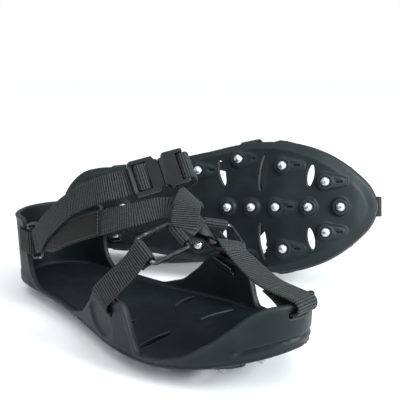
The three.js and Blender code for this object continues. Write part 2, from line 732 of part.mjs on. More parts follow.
// The outer half: up from the heel ring, through the buckle's ladder lock, and back along itself.
function outerAnkleStrap() {
  const end = heelEnd(OUTER, OUTER_EYE, 0);
  const loadSide = -(BAR_HALF + WEB_THICK * 1.5 + 1);
  const topSide = BAR_HALF + 1.3;
  const tailSide = -topSide;
  const upAt = CENTRE_BAR + BAR_WIDTH / 2 + WEB_SLOT / 2;
  const downAt = CENTRE_BAR - BAR_WIDTH / 2 - WEB_SLOT / 2;
  const turn = 1.8;
  const path = [
    [BUCKLE_BACK - 4, loadSide], [upAt - turn, loadSide],
    [upAt - 0.5, loadSide + 0.6], [upAt, loadSide + turn],
    [upAt, topSide - turn], [upAt - 0.6, topSide - 0.6], [upAt - turn, topSide],
    [downAt + turn, topSide], [downAt + 0.6, topSide - 0.6], [downAt, topSide - turn],
    [downAt, tailSide + turn], [downAt - 0.6, tailSide + 0.6],
    [downAt - turn, tailSide], [BUCKLE_BACK - 4, tailSide],
  ];
  const across = BUCKLE_ACROSS.clone().negate();
  const lock = path.map(([x, z], i) => {
    const [px, pz] = path[Math.max(0, i - 1)];
    const [qx, qz] = path[Math.min(path.length - 1, i + 1)];
    const tangent = V(qx - px, 0, qz - pz).normalize();
    const normal = V(-tangent.z, 0, tangent.x).transformDirection(BUCKLE_MATRIX);
    return { p: V(x, 0, z).applyMatrix4(BUCKLE_MATRIX), w: across, n: normal };
  });
  const onBuckle = (x, z) => V(x, 0, z).applyMatrix4(BUCKLE_MATRIX);
  const middle = [
    [V(-62, -51.2, 78), V(0, -1, 0.15)],
    [V(-30, -47, 102), V(0.1, -0.95, 0.35)],
    [V(0, -38, 116), V(0.4, -0.8, 0.45)],
  ];
  const load = run([...leaving(end), ...middle, [onBuckle(BUCKLE_BACK - 6, loadSide), BUCKLE_OUT]], 16);
  const lift = tailSide - loadSide + 0.05;
  const lifted = (p, n) => p.clone().addScaledVector(n.clone().normalize(), lift);
  const tailStops = middle.slice(1).map(([p, n]) => [lifted(p, n), n]);
  const tail = run([...tailStops, [onBuckle(BUCKLE_BACK - 6, tailSide), BUCKLE_OUT]], 10)
    .reverse()
    .map(({ p, w, n }) => ({ p, w, n: n.clone().negate() }));
  return band([...startWith(halfTurn(end)), ...load, ...lock, ...tail]);
}

// The inner half is cut at the ankle pivot: the anchor stays, the long part swings with the buckle.
function innerAnkleAnchor() {
  const end = heelEnd(INNER, OUTER_EYE, 0);
  return band([
    ...startWith(halfTurn(end)),
    ...run([...leaving(end), [ANKLE_PIVOT, V(0, 1, 0.15)]], 5),
  ]);
}

function innerAnkleStrap() {
  const along = V(0.78, 0, 0.62);
  const bar = V(BUCKLE_FRONT - BAR_WIDTH / 2, 0, 0).applyMatrix4(BUCKLE_MATRIX);
  const radius = Math.hypot(BAR_WIDTH / 2, BAR_HALF) + GAP + WEB_THICK / 2;
  const end = endOn(bar, BUCKLE_ALONG.clone().cross(BUCKLE_OUT), BUCKLE_ALONG, BUCKLE_OUT, radius);
  const stops = [
    [ANKLE_PIVOT.clone().addScaledVector(along, 0.6), V(0, 1, 0.15)],
    [V(-30, 48, 102), V(0.1, 0.95, 0.35)],
    [V(2, 43, 116), V(0.4, 0.8, 0.45)],
    [V(24, 32, 126), V(0.7, 0.5, 0.5)],
  ];
  return strap(null, stops, end, 14);
}

// ---- Materials and assembly ----

const MATERIALS = {
  rubber: { color: 0x2c3335, roughness: 0.62, metalness: 0 },
  webbing: { color: 0x343b3a, roughness: 0.9, metalness: 0 },
  label: { color: 0x3b4442, roughness: 0.8, metalness: 0 },
  plastic: { color: 0x2f383b, roughness: 0.42, metalness: 0 },
  ring: { color: 0x3c4246, roughness: 0.35, metalness: 0.8 },
  stud: { color: 0xd8dcdd, roughness: 0.25, metalness: 1 },
};

function piece(name, geometry, material) {
  const flat = geometry.index ? geometry.toNonIndexed() : geometry;
  flat.computeVertexNormals();
  const mesh = new THREE.Mesh(flat, new THREE.MeshStandardMaterial(MATERIALS[material]));
  mesh.name = name;
  return mesh;
}

// The pieces of one cleat. The left cleat is the mirror image of the right one.
function cleat(prefix, mirrored, withStuds) {
  const group = new THREE.Group();
  const add = (name, geometry, material) => {
    group.add(piece(`${prefix}_${name}`, mirrored ? mirrorImage(geometry) : geometry, material));
  };
  add('sole', overshoe(withStuds), 'rubber');
  if (!withStuds) {
    studPlaces.forEach((place, i) => {
      add(`stud_${String(i + 1).padStart(2, '0')}`, stud().applyMatrix4(studMatrix(place)), 'stud');
    });
  }
  for (const side of [OUTER, INNER]) {
    const instepRing = side === OUTER ? OUTER_RING : INNER_RING;
    add(`heel_loop_${sideName(side)}`, heelLoop(side), 'webbing');
    add(`heel_ring_${sideName(side)}`, wireRing(heelRing(side), HEEL_RING_CORNERS), 'ring');
    add(`instep_ring_${sideName(side)}`, wireRing(instepRing, SQUARE_RING), 'ring');
    add(`side_strap_${sideName(side)}`, sideStrap(side), 'webbing');
  }
  add('crossing_strap', crossingStrap(), 'webbing');
  add('toe_strap', toeStrap(), 'webbing');
  add('label_patch', labelPatch(), 'label');
  add('ankle_strap_outer', outerAnkleStrap(), 'webbing');
  add('ankle_anchor_inner', innerAnkleAnchor(), 'webbing');
  add('ankle_strap_inner', innerAnkleStrap(), 'webbing');
  add('buckle_male', buckleMale(), 'plastic');
  add('buckle_prong_low', buckleProng(1), 'plastic');
  add('buckle_prong_high', buckleProng(-1), 'plastic');
  add('buckle_female', buckleFemale(), 'plastic');
  return group;
}

const mirrorImage = (geometry) => outward(mergeVertices(geometry.scale(1, -1, 1), 1e-4));

const right = cleat('right', false, false);
const left = cleat('left', true, true);

// The left cleat lies on its side behind the right one, with its studs turned to the right one.
const LEFT_YAW = 31 * RAD;
const LEFT_PITCH = -3.5 * RAD;
const LEFT_ROLL = -102 * RAD;
left.rotation.set(LEFT_ROLL, LEFT_PITCH, LEFT_YAW, 'ZYX');
left.position.set(-33.5, 106, 0);
left.updateMatrixWorld(true);
left.position.z = -new THREE.Box3().setFromObject(left, true).min.z;

// The pair's origin is the middle of its bounding box, on the ground.
const pair = new THREE.Group();
pair.add(right, left);
pair.updateMatrixWorld(true);
const extent = new THREE.Box3().setFromObject(pair, true);
const middle = extent.getCenter(V());
pair.position.set(-middle.x, -middle.y, -extent.min.z);
pair.updateMatrixWorld(true);

export default pair;
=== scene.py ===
import math

import bmesh
import bpy
import numpy as np
from mathutils import Matrix, Vector


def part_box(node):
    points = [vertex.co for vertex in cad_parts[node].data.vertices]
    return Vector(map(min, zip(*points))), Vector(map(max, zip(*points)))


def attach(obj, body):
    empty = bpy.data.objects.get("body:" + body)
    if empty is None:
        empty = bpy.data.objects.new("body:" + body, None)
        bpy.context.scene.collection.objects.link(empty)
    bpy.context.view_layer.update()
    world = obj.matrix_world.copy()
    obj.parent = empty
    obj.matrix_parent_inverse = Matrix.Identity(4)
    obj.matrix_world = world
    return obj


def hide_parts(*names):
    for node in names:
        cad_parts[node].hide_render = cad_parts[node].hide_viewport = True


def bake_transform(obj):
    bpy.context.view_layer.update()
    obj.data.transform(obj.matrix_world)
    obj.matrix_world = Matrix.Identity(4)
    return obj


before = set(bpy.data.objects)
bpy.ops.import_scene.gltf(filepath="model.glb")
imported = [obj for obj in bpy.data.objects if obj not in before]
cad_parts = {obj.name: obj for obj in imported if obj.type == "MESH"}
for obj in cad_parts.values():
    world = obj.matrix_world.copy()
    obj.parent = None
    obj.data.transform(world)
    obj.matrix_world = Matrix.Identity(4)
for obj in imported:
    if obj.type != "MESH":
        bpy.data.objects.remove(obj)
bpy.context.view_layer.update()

# Shapes are laid out in millimetres on a standing cleat: +X to the toe, +Z up, and the origin on
# the ground under the middle of the sole. Cleat places them in the shared frame, in metres.

MM = 0.001
LENGTH = 316.0
HALF = LENGTH / 2
GAP = 0.35
OUTER, INNER = -1, 1
SIDE_NAMES = {OUTER: "outer", INNER: "inner"}
CORNER_SIGNS = [(-1, -1), (1, -1), (1, 1), (-1, 1)]

WEB_WIDTH = 20.0
WEB_THICK = 1.8
WEB_STEP = 0.45  # spacing of webbing sections along a strap
RIB_PITCH = 1.8
RIB_HEIGHT = 0.3
SELVAGE = 0.7  # how far the rounded edge reaches in from each side
THREAD_RADIUS = 0.32
STITCH_REACH = 7.8  # a seam's stitches run this far from the strap's middle
STITCH_PITCH = 2.6

RING_WIRE = 1.6
RING_SPAN = 28.0
RING_BEND = 3.4

SOLE_BOTTOM = 7.0
SOLE_THICK = 6.0
SOLE_BEVEL = 5.0
WALL = 4.0
WALL_FLARE = 0.03
TOE_SPRING = 20.0
SPRING_START = 62.0
VOXEL = 0.8  # grain of the moulded rubber mesh
RIM_ROUND = 1.6  # height of the rounded top of the wall

PANEL_MIDDLE = (25, 28)  # x and height of the panel in the wing
PANEL_LINE = (0.94, -0.34)  # direction of its long side, along the strap
PANEL_HALF = (18, 11.5)
PANEL_DEPTH = 2.0

# Moulding grooves: height over the sole's bottom, depth, width, and x where they start.
TOE_GROOVE = (12.6, 2.4, 1.0, 134)
LONG_GROOVE = (6.6, 1.5, 1.2, -20)

BOSS_RADIUS = 8.0
BOSS_FACE = 4.9
BOSS_TAIL = [(10, -5.4), (14.5, -4.4), (18.8, -2), (18.8, 2), (14.5, 4.4), (10, 5.4)]
BOSS_RAMP_START = 9.0
BOSS_RAMP = 0.13  # slope of a tailed boss's ramp
STUD_SHANK = 2.8
STUD_DEPTH = 10.4

OUTLINE = [
    (-158, 0), (-155.5, 14), (-148, 26), (-135, 36.5), (-118, 40.5), (-80, 43), (-40, 47),
    (0, 55), (38, 62), (70, 62), (95, 57), (118, 47.5), (138, 33), (152, 18), (158, 0),
]
RIM = [
    (-158, 76), (-118, 76), (-112, 72), (-110.5, 42), (-106, 26), (-98, 18), (-88, 15.5), (-30, 15.5),
    (-8, 23), (9, 38), (19, 51), (26, 54), (46, 47), (53, 51), (58, 50), (64, 34), (70, 18),
    (88, 19), (105, 25), (123, 38), (133, 48), (141, 57), (149, 62), (158, 63),
]
STUDS = [
    (126, 0), (96, 0), (65, 0), (42, 0), (19, 0), (112, 23.5), (72, 39), (30, 46), (-10, 36),
    (-88, 0), (-96, 26), (-134, 18),
]
TAILED_STUDS = [(65, 0), (112, 23.5), (72, 39), (30, 46), (-10, 36), (-96, 26)]
FLEX_SLOTS = [((100, 41.5), (96, 18)), ((56, 52), (51, 13)), ((11, 48), (17, 19))]
FLEX_SLOT_WIDTH = 6.0

WING_BAR = (35.5, 46.9)  # x and height of the rubber bar over a wing's slot
WING_TILT = math.radians(-20)
WING_BAR_HALF = 3.6
WING_EYE = 6.1
HEEL_SLOT_X = -119.5
HEEL_BAR_TILT = 0.26
HEEL_REAR_X = -105.0
HEEL_RING_Z = 56.0
HEEL_RING_REACH = 17.0
TOE_SLOT_Z = 55.4
SLOT_LENGTH = WEB_WIDTH + 2.4  # a slot that webbing goes through
WING_SLOT, HEEL_SLOT, TOE_SLOT = 4.2, 4.8, 3.9  # the slots' widths
CUT_DEPTH = 16.0  # far enough to pass through a wall


# ---- Vectors, tables and curves ----

def vec(*xyz):
    return np.array(xyz, float)


def unit(v):
    return v / np.linalg.norm(v)


def squared(v, axis):
    """The part of v that is square to an axis, as a unit vector."""
    return unit(v - axis * (v @ axis))


def ramp(x, start, end):
    """0 before start, 1 after end, and smooth between."""
    t = np.clip((x - start) / (end - start), 0, 1)
    return t * t * (3 - 2 * t)


def rise(x):
    """How far the toe spring lifts the sole at x."""
    return TOE_SPRING * max(0.0, (x - SPRING_START) / (HALF - SPRING_START)) ** 2


def rise_angle(x):
    return math.atan(2 * TOE_SPRING * max(0.0, x - SPRING_START) / (HALF - SPRING_START) ** 2)


def smooth_curve(points, count, closed=False):
    """Samples of a centripetal Catmull-Rom curve through points, evenly indexed."""
    pts = np.array(points, float)
    if closed:
        pts = np.vstack([pts[-1], pts, pts[0], pts[1]])
    else:
        pts = np.vstack([2 * pts[0] - pts[1], pts, 2 * pts[-1] - pts[-2]])
    spans = len(pts) - 3
    t = np.linspace(0, spans, count, endpoint=not closed)
    i = np.minimum(t.astype(int), spans - 1)
    p0, p1, p2, p3 = (pts[i + k] for k in range(4))
    pairs = ((p0, p1), (p1, p2), (p2, p3))
    step0, step1, step2 = (np.linalg.norm(b - a, axis=1) ** 0.5 for a, b in pairs)
    k1 = step0
    k2 = k1 + step1
    k3 = k2 + step2
    s = k1 + (t - i) * step1

    def mix(a, b, from_knot, to_knot):
        share = ((s - from_knot) / (to_knot - from_knot))[:, None]
        return a * (1 - share) + b * share

    zero = np.zeros_like(k1)
    a1, a2, a3 = mix(p0, p1, zero, k1), mix(p1, p2, k1, k2), mix(p2, p3, k2, k3)
    return mix(mix(a1, a2, zero, k2), mix(a2, a3, k1, k3), k1, k2)


# ---- Meshes ----

class Shape:
    """Points in millimetres with faces, a material index per face and, for webbing, a UV per point."""

    def __init__(self, points, faces, mark=0, uv=None):
        self.points = np.array(points, float).reshape(-1, 3)
        self.faces = list(faces)
        self.marks = [mark] * len(self.faces)
        self.uv = np.zeros((len(self.points), 2)) if uv is None else np.array(uv, float)

    def join(self, *others):
        """Adds other shapes to this one as loose parts."""
        for other in others:
            base = len(self.points)
            self.points = np.vstack([self.points, other.points])
            self.uv = np.vstack([self.uv, other.uv])
            self.faces += [tuple(base + i for i in face) for face in other.faces]
            self.marks += other.marks
        return self

    def moved(self, matrix):
        """A copy of the shape, moved by a 4x4 matrix."""
        m = np.array(matrix)
        copy = Shape(self.points @ m[:3, :3].T + m[:3, 3], self.faces, uv=self.uv)
        copy.marks = list(self.marks)
        return copy


def loft(sections, ring=False, mark=0, uv=None):
    """A tube through equal closed sections, capped at its ends unless it is a ring."""
    sections = np.array(sections, float)
    count, size = sections.shape[:2]
    faces = []
    for s in range(count if ring else count - 1):
        a, b = s * size, ((s + 1) % count) * size
        faces += [(a + k, a + (k + 1) % size, b + (k + 1) % size, b + k) for k in range(size)]
    if not ring:
        faces.append(tuple(range(size))[::-1])
        faces.append(tuple((count - 1) * size + k for k in range(size)))
    return Shape(sections.reshape(-1, 3), faces, mark, uv)


def lathe(profile, sides):
    """A solid turned about Z from (radius, z) rows; the first and last rows are on the axis."""
    angles = np.arange(sides) * 2 * math.pi / sides
    tube = loft([[(r * math.cos(a), r * math.sin(a), z) for a in angles] for r, z in profile[1:-1]])
    first_tip = len(tube.points)
    last_ring = first_tip - sides
    faces = tube.faces[:-2]
    faces += [(first_tip, (k + 1) % sides, k) for k in range(sides)]
    faces += [(first_tip + 1, last_ring + k, last_ring + (k + 1) % sides) for k in range(sides)]
    return Shape(np.vstack([tube.points, [0, 0, profile[0][1]], [0, 0, profile[-1][1]]]), faces)


def prism(outline, low, high):
    """A solid between two heights over a closed plan outline."""
    return loft([[(x, y, low) for x, y in outline], [(x, y, high) for x, y in outline]])


def box_shape(size, centre, x_axis, y_axis, z_axis):
    """A box given by its size, centre and three directions."""
    a, b, c = (np.array(axis) * s / 2 for axis, s in zip((x_axis, y_axis, z_axis), size))
    return loft([[centre + a * i + b * j + c * k for i, j in CORNER_SIGNS] for k in (-1, 1)])


def to_mesh(name, shape):
    """A Blender mesh in metres with its faces turned out."""
    mesh = bpy.data.meshes.new(name)
    mesh.from_pydata((shape.points * MM).tolist(), [], shape.faces)
    mesh.polygons.foreach_set("material_index", shape.marks)
    corner_points = np.zeros(len(mesh.loops), int)
    mesh.loops.foreach_get("vertex_index", corner_points)
    layer = mesh.uv_layers.new(name="yarn")
    layer.data.foreach_set("uv", shape.uv[corner_points].ravel())
    work = bmesh.new()
    work.from_mesh(mesh)
    bmesh.ops.recalc_face_normals(work, faces=work.faces)
    work.to_mesh(mesh)
    work.free()
    mesh.polygons.foreach_set("use_smooth", [True] * len(mesh.polygons))
    return mesh


def linked(name, data):
    """An object in the scene that holds a mesh, a light or a camera."""
    made = bpy.data.objects.new(name, data)
    bpy.context.scene.collection.objects.link(made)
    return made


class Cleat:
    """One cleat's name and place; the left cleat is the mirror image of the right one."""

    def __init__(self, prefix, matrix, mirrored):
        self.prefix = prefix
        self.body = f"{prefix}_cleat"
        self.flap = f"{prefix}_strap_flap"
        self.matrix = np.array(matrix)
        self.mirror = vec(1, -1, 1) if mirrored else vec(1, 1, 1)

    def to_frame(self, points):
        """Layout points in millimetres, as points in the shared frame in metres."""
        points = np.array(points, float) * self.mirror
        return (points @ self.matrix[:3, :3].T + self.matrix[:3, 3]) * MM

    def add(self, name, shape, materials, slot, replaced=None, blended=False):
        """Adds a piece in place of its CAD nodes; it rides on the cleat unless it is blended."""
        placed = Shape(self.to_frame(shape.points) / MM, shape.faces, uv=shape.uv)
        placed.marks = shape.marks
        piece = linked(f"{self.prefix}_{name}_look", to_mesh(name, placed))
        for material in materials:
            piece.data.materials.append(material)
        if not blended:
            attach(piece, self.body)
        nodes = [name] if replaced is None else replaced
        if nodes:
            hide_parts(*[f"{self.prefix}_{node}" for node in nodes])
        return piece


# ---- Rubber overshoe ----

WHOLE_OUTLINE = smooth_curve(OUTLINE + [(x, -y) for x, y in OUTLINE[-2:0:-1]], 2800, closed=True)
HALF_OUTLINE = WHOLE_OUTLINE[:len(WHOLE_OUTLINE) // 2 + 1]


def half_width(x):
    return np.interp(x, HALF_OUTLINE[:, 0], HALF_OUTLINE[:, 1])


def rim_height(x):
    """Height of the rubber's top edge, with the corners of the rim table rounded."""
    spread = np.linspace(-2.5, 2.5, 11)
    floor = SOLE_BOTTOM + rise(x) + SOLE_THICK
    return max(float(np.mean(np.interp(x + spread, *zip(*RIM)))), floor + 2)


def rim_distance(x, z):
    """Distance in the side view from points (x, z) to the rim line."""
    best = np.full(np.shape(z), 1e9)
    for (x0, z0), (x1, z1) in zip(RIM[:-1], RIM[1:]):
        dx, dz = x1 - x0, z1 - z0
        t = np.clip(((x - x0) * dx + (z - z0) * dz) / (dx * dx + dz * dz), 0, 1)
        best = np.minimum(best, np.hypot(x - x0 - t * dx, z - z0 - t * dz))
    return best


def wall_relief(x, z):
    """How far the moulded details stand out of the wall at (x, z), in millimetres."""
    bottom = SOLE_BOTTOM + rise(x)
    # A rolled lip runs along the rim, heavier on the front edge of the wing.
    lip = 0.9 + 1.0 * ramp(x, 44, 54) * (1 - ramp(x, 74, 84))
    out = lip * (1 - ramp(rim_distance(x, z), 1.6, 4.2))
    # A sunk oval panel inside the wing.
    dx, dz = x - PANEL_MIDDLE[0], z - PANEL_MIDDLE[1]
    along = (dx * PANEL_LINE[0] + dz * PANEL_LINE[1]) / PANEL_HALF[0]
    across = (dz * PANEL_LINE[0] - dx * PANEL_LINE[1]) / PANEL_HALF[1]
    out = out - PANEL_DEPTH * (1 - ramp(np.hypot(along, across), 0.84, 1.0))
    for height, deep, wide, start in (TOE_GROOVE, LONG_GROOVE):
        out = out - deep * np.exp(-((z - bottom - height) / wide) ** 2) * ramp(x, start, start + 5)
    # A dot where the toe groove starts, and one step round the heel cup.
    height, _, _, start = TOE_GROOVE
    out = out + 1.2 * (1 - ramp(np.hypot(x - start, z - bottom - height), 1.0, 2.4))
    out = out + 0.7 * (1 - ramp(z - bottom, 13, 16)) * ramp(z - bottom, 3, 7) * (1 - ramp(x, -118, -104))
    return out


def wall_section(x, y, normal):
    """Points of the wall at (x, y) from the bottom, up the outside, over the rim and down to the floor."""
    bottom = SOLE_BOTTOM + rise(x)
    floor = bottom + SOLE_THICK
    rim = rim_height(x)
    bevel = SOLE_BEVEL + 4 * ramp(x, 40, 130)  # wider towards the toe
    rows = [(-bevel - 1.2, bottom), (-bevel, bottom + 0.9), (-bevel * 0.4, bottom + SOLE_BEVEL * 0.62)]
    top = rim - RIM_ROUND
    heights = np.linspace(bottom + SOLE_BEVEL, top, 44)
    rows += list(zip(WALL_FLARE * (heights - bottom) + wall_relief(x, heights), heights))
    flare = WALL_FLARE * (rim - bottom)
    lip = float(wall_relief(x, np.array(top)))
    for angle in np.radians(np.linspace(20, 160, 6)):
        side = math.cos(angle)
        offset = flare - WALL / 2 + side * WALL / 2 + lip * (1 + side) / 2
        rows.append((offset, top + RIM_ROUND * math.sin(angle)))
    rows += [(flare - WALL, top), (-WALL - 0.2, floor + 1.4), (-WALL - 1.6, floor + 0.1)]
    return [(x + normal[0] * offset, y + normal[1] * offset, z) for offset, z in rows]


def overshoe_shell():
    """The wall's sections all round the outline, closed across by the sole's two faces."""
    tangents = np.gradient(HALF_OUTLINE, axis=0)
    tangents[[0, -1]] = [[0, 1], [0, -1]]
    half = []
    for i in np.linspace(0, len(HALF_OUTLINE) - 1, 290).astype(int):
        tangent = unit(tangents[i])
        half.append(wall_section(*HALF_OUTLINE[i], (-tangent[1], tangent[0])))
    half = np.array(half)
    around = np.concatenate([half, half[-2:0:-1] * vec(1, -1, 1)])
    count, rows = around.shape[:2]
    faces = []
    for i in range(count):
        a, b = i * rows, ((i + 1) % count) * rows
        faces += [(a + k, b + k, b + k + 1, a + k + 1) for k in range(rows - 1)]
    for i in range(len(half) - 1):
        opposite, opposite_next = (count - i) % count, count - i - 1
        for k in (0, rows - 1):
            corners = [i * rows + k, (i + 1) * rows + k, opposite_next * rows + k, opposite * rows + k]
            faces.append(tuple(dict.fromkeys(corners)))
    return Shape(around.reshape(-1, 3), faces)


def both_sides(places):
    """Places with their mirror images, but only once on the middle line."""
    return [(x, side * y) for x, y in places for side in ((1,) if y == 0 else (-1, 1))]


def stud_matrix(place):
    x, y = place
    return Matrix.Translation((x, y, rise(x))) @ Matrix.Rotation(-rise_angle(x), 4, "Y")


def arc_points(radius, start, end, count):
    return [(radius * math.cos(a), radius * math.sin(a)) for a in np.linspace(start, end, count)]


def boss(tailed):
    """The raised seat of a stud; a tailed one runs out to a ramp towards the toe."""
    if tailed:
        toe_end = BOSS_TAIL
    else:
        toe_end = arc_points(BOSS_RADIUS, -0.6, 0.6, 5)
    outline = smooth_curve(arc_points(BOSS_RADIUS, 0.9, 2 * math.pi - 0.9, 22) + toe_end, 72, closed=True)
    insets = [
        (SOLE_BOTTOM + 2.5, -1.0), (SOLE_BOTTOM + 0.1, -0.8), (BOSS_FACE + 1.0, 0), (BOSS_FACE, 0.9),
    ]
    sections = []
    for height, inset in insets:
        shrink = 1 - inset / BOSS_RADIUS
        slope = np.clip(outline[:, 0] - BOSS_RAMP_START, 0, 12) * (BOSS_RAMP if height < SOLE_BOTTOM else 0)
        sections.append([(x * shrink, y * shrink, height + lift) for (x, y), lift in zip(outline, slope)])
    return loft(sections)


def collar():
    """The round bead that stands round a stud on its boss."""
    angles = np.arange(36) * math.pi / 18
    rows = [(5.9, 0.5), (5.3, -0.5), (6.1, -0.7), (6.9, -0.4), (7.1, 0.5)]
    return loft([
        [(r * math.cos(a), r * math.sin(a), BOSS_FACE + rise_above) for r, rise_above in rows]
        for a in angles
    ], ring=True)


def flex_slot(ends):
    """The cutter of a lens-shaped slot through the sole, from one end to the other."""
    (x0, y0), (x1, y1) = ends
    length, angle = math.hypot(x0 - x1, y0 - y1), math.atan2(y0 - y1, x0 - x1)
    t = np.linspace(-1, 1, 15)
    side = np.stack([t * length / 2, (1 - t * t) * FLEX_SLOT_WIDTH / 2], 1)
    lens = np.vstack([side, -side[1:-1]])
    turn = np.array([[math.cos(angle), math.sin(angle)], [-math.sin(angle), math.cos(angle)]])
    return prism(lens @ turn + ((x0 + x1) / 2, (y0 + y1) / 2), 0, 30)


def wall_point(x, z, side):
    """A point in the middle of the wall's thickness."""
    bottom = SOLE_BOTTOM + rise(x)
    return vec(x, side * (half_width(x) - WALL / 2 + WALL_FLARE * (z - bottom)), z)


def wall_direction(x, side):
    return unit(vec(2, side * (half_width(x + 1) - half_width(x - 1)), 0))


def wing_slot_line(side):
    along = wall_direction(WING_BAR[0], side)
    return along * math.cos(WING_TILT) + vec(0, 0, math.sin(WING_TILT))


def sole_cuts():
    """Everything that is cut out of the rubber: flex slots, strap slots, stud sockets and boss slits."""
    cuts = [flex_slot([(x, side * y) for x, y in ends]) for ends in FLEX_SLOTS for side in (-1, 1)]
    z_axis = vec(0, 0, 1)
    for side in (-1, 1):
        line = wing_slot_line(side)
        across = np.cross(z_axis, wall_direction(WING_BAR[0], side))
        up = np.cross(line, across)
        middle = wall_point(*WING_BAR, side) - up * (WING_BAR_HALF + WING_SLOT / 2)
        cuts.append(box_shape((SLOT_LENGTH, CUT_DEPTH, WING_SLOT), middle, line, across, up))
        heel = wall_direction(HEEL_SLOT_X, side)
        heel_middle = wall_point(HEEL_SLOT_X, HEEL_RING_Z, side)
        heel_across = np.cross(z_axis, heel)
        cuts.append(box_shape((HEEL_SLOT, CUT_DEPTH, SLOT_LENGTH), heel_middle, heel, heel_across, z_axis))
    cuts.append(box_shape((CUT_DEPTH + 4, SLOT_LENGTH, TOE_SLOT), vec(HALF, 0, TOE_SLOT_Z), *np.eye(3)))
    socket = prism(arc_points(STUD_SHANK + 0.5, 0, 1.9 * math.pi, 20), -1, STUD_DEPTH + GAP)
    cuts += [socket.moved(stud_matrix(place)) for place in both_sides(STUDS)]
    slit = box_shape((6.5, 2.1, 4), vec(13, 0, SOLE_BOTTOM - 1.2), *np.eye(3))
    cuts += [slit.moved(stud_matrix(place)) for place in both_sides(TAILED_STUDS)]
    return cuts


def baked(piece):
    """The piece's mesh with its modifiers applied; the piece itself is removed."""
    graph = bpy.context.evaluated_depsgraph_get()
    mesh = bpy.data.meshes.new_from_object(piece.evaluated_get(graph))
    bpy.data.objects.remove(piece)
    return mesh


def remesh(piece):
    modifier = piece.modifiers.new("remesh", "REMESH")
    modifier.mode = "VOXEL"
    modifier.voxel_size = VOXEL * MM


def moulded_rubber():
    """The rubber body of a right cleat as a Shape: shell and bosses fused, cut, and softened."""
    body = overshoe_shell()
    for place in both_sides(STUDS):
        tailed = (place[0], abs(place[1])) in TAILED_STUDS
        matrix = stud_matrix(place)
        body.join(boss(tailed).moved(matrix), collar().moved(matrix))
    cuts = sole_cuts()
    fused = linked("fused", to_mesh("fused", body))
    remesh(fused)
    cutter = linked("cutter", to_mesh("cutter", cuts[0].join(*cuts[1:])))
    cut = fused.modifiers.new("cut", "BOOLEAN")
    cut.solver = "MANIFOLD"
    cut.object = cutter
    remesh(fused)
    soften = fused.modifiers.new("soften", "SMOOTH")
    soften.factor = 0.5
    soften.iterations = 3
    mesh = baked(fused)
    bpy.data.objects.remove(cutter)
    points = np.zeros(len(mesh.vertices) * 3)
    mesh.vertices.foreach_get("co", points)
    return Shape(points / MM, [tuple(p.vertices) for p in mesh.polygons])


def stud_shape():
    profile = [
        (0, 0), (0.7, 0.05), (1.05, 0.4), (1.1, 1.15), (1.8, 1.3), (2.9, 1.9), (3.8, 2.8), (4.35, 3.8),
        (4.6, 4.35), (4.5, BOSS_FACE - 0.3), (4.1, BOSS_FACE), (STUD_SHANK, BOSS_FACE),
        (STUD_SHANK, STUD_DEPTH - 0.5), (STUD_SHANK - 0.5, STUD_DEPTH), (0, STUD_DEPTH),
    ]
    return lathe(profile, 32)


# ---- Webbing ----
# A run of webbing is an array of frames; each frame holds a point p on its middle and the
# directions w across it and n out of its face.

WIRE_EYE = RING_WIRE + GAP + WEB_THICK / 2  # radius of a strap's turn round a ring
OUTER_EYE = WIRE_EYE + WEB_THICK + GAP  # radius of a second strap's turn over it
WEB_FACE = WEB_THICK / 2 + 0.05  # height of stitches on a strap


def unit_rows(rows):
    return rows / np.linalg.norm(rows, axis=1)[:, None]


def squared_rows(rows, axes):
    """The part of each row that is square to its own axis, as unit vectors."""
    return unit_rows(rows - axes * np.sum(rows * axes, 1)[:, None])


def facing_frames(points, facings):
    """Frames along points, with their faces turned as near to the facings as they can be."""
    tangents = unit_rows(np.gradient(points, axis=0))
    n = squared_rows(facings, tangents)
    return np.stack([points, np.cross(tangents, n), n], 1)


def run(stops):
    """Frames along a smooth run through stops, each (point, outward direction)."""
    points, facings = (np.array([stop[k] for stop in stops], float) for k in (0, 1))
    count = 24 * (len(stops) - 1) + 1
    at = np.linspace(0, len(stops) - 1, count)
    mixed = np.stack([np.interp(at, np.arange(len(stops)), facings[:, k]) for k in range(3)], 1)
    return facing_frames(smooth_curve(points, count), mixed)


class End:
    """A strap's end on a bar: `away` points from the bar along the strap, `n` out of its outer face."""

    def __init__(self, bar, axis, toward, outside, radius=WIRE_EYE, lap=0.0):
        self.bar, self.radius, self.lap = bar, radius, lap
        self.away = squared(toward, axis)
        n = unit(np.cross(self.away, axis))
        self.n = n if n @ outside > 0 else -n

    def half_turn(self):
        """Frames round the bar, from the strap's outer side to its inner side."""
        angles = np.linspace(0, math.pi, 25)[:, None]
        radial = self.n * np.cos(angles) - self.away * np.sin(angles)
        tangent = -self.away * np.cos(angles) - self.n * np.sin(angles)
        return np.stack([self.bar + radial * self.radius, np.cross(tangent, radial), radial], 1)

    def lap_frames(self):
        """The sewn lap: it closes in under the strap and stops there."""
        if not self.lap:
            return np.zeros((0, 3, 3))
        under = self.radius - WEB_THICK - GAP
        rows = [
            (0.0, -self.radius), (self.lap * 0.3, -self.radius * 0.9),
            (self.lap * 0.65, -self.radius * 0.1), (self.lap, under - 0.1),
        ]
        points = smooth_curve([self.bar + self.away * d + self.n * o for d, o in rows], 37)
        return facing_frames(points, np.repeat(-self.n[None], len(points), 0))[2:]

    def wrapped_start(self):
        """The lap and the half turn, run from the lap's end towards the strap."""
        return reverse(joined(self.half_turn(), self.lap_frames()))

    def leaving(self, side=1):
        """The two stops that hold the strap straight as it leaves the bar."""
        face = self.bar + self.n * self.radius * side
        return [(face + self.away * distance, self.n) for distance in (1.2, self.lap + 3)]


def reverse(frames):
    """The same webbing run the other way, with its face kept."""
    flipped = frames[::-1].copy()
    flipped[:, 1] *= -1
    return flipped


def step_lengths(frames):
    return np.linalg.norm(np.diff(frames[:, 0], axis=0), axis=1)


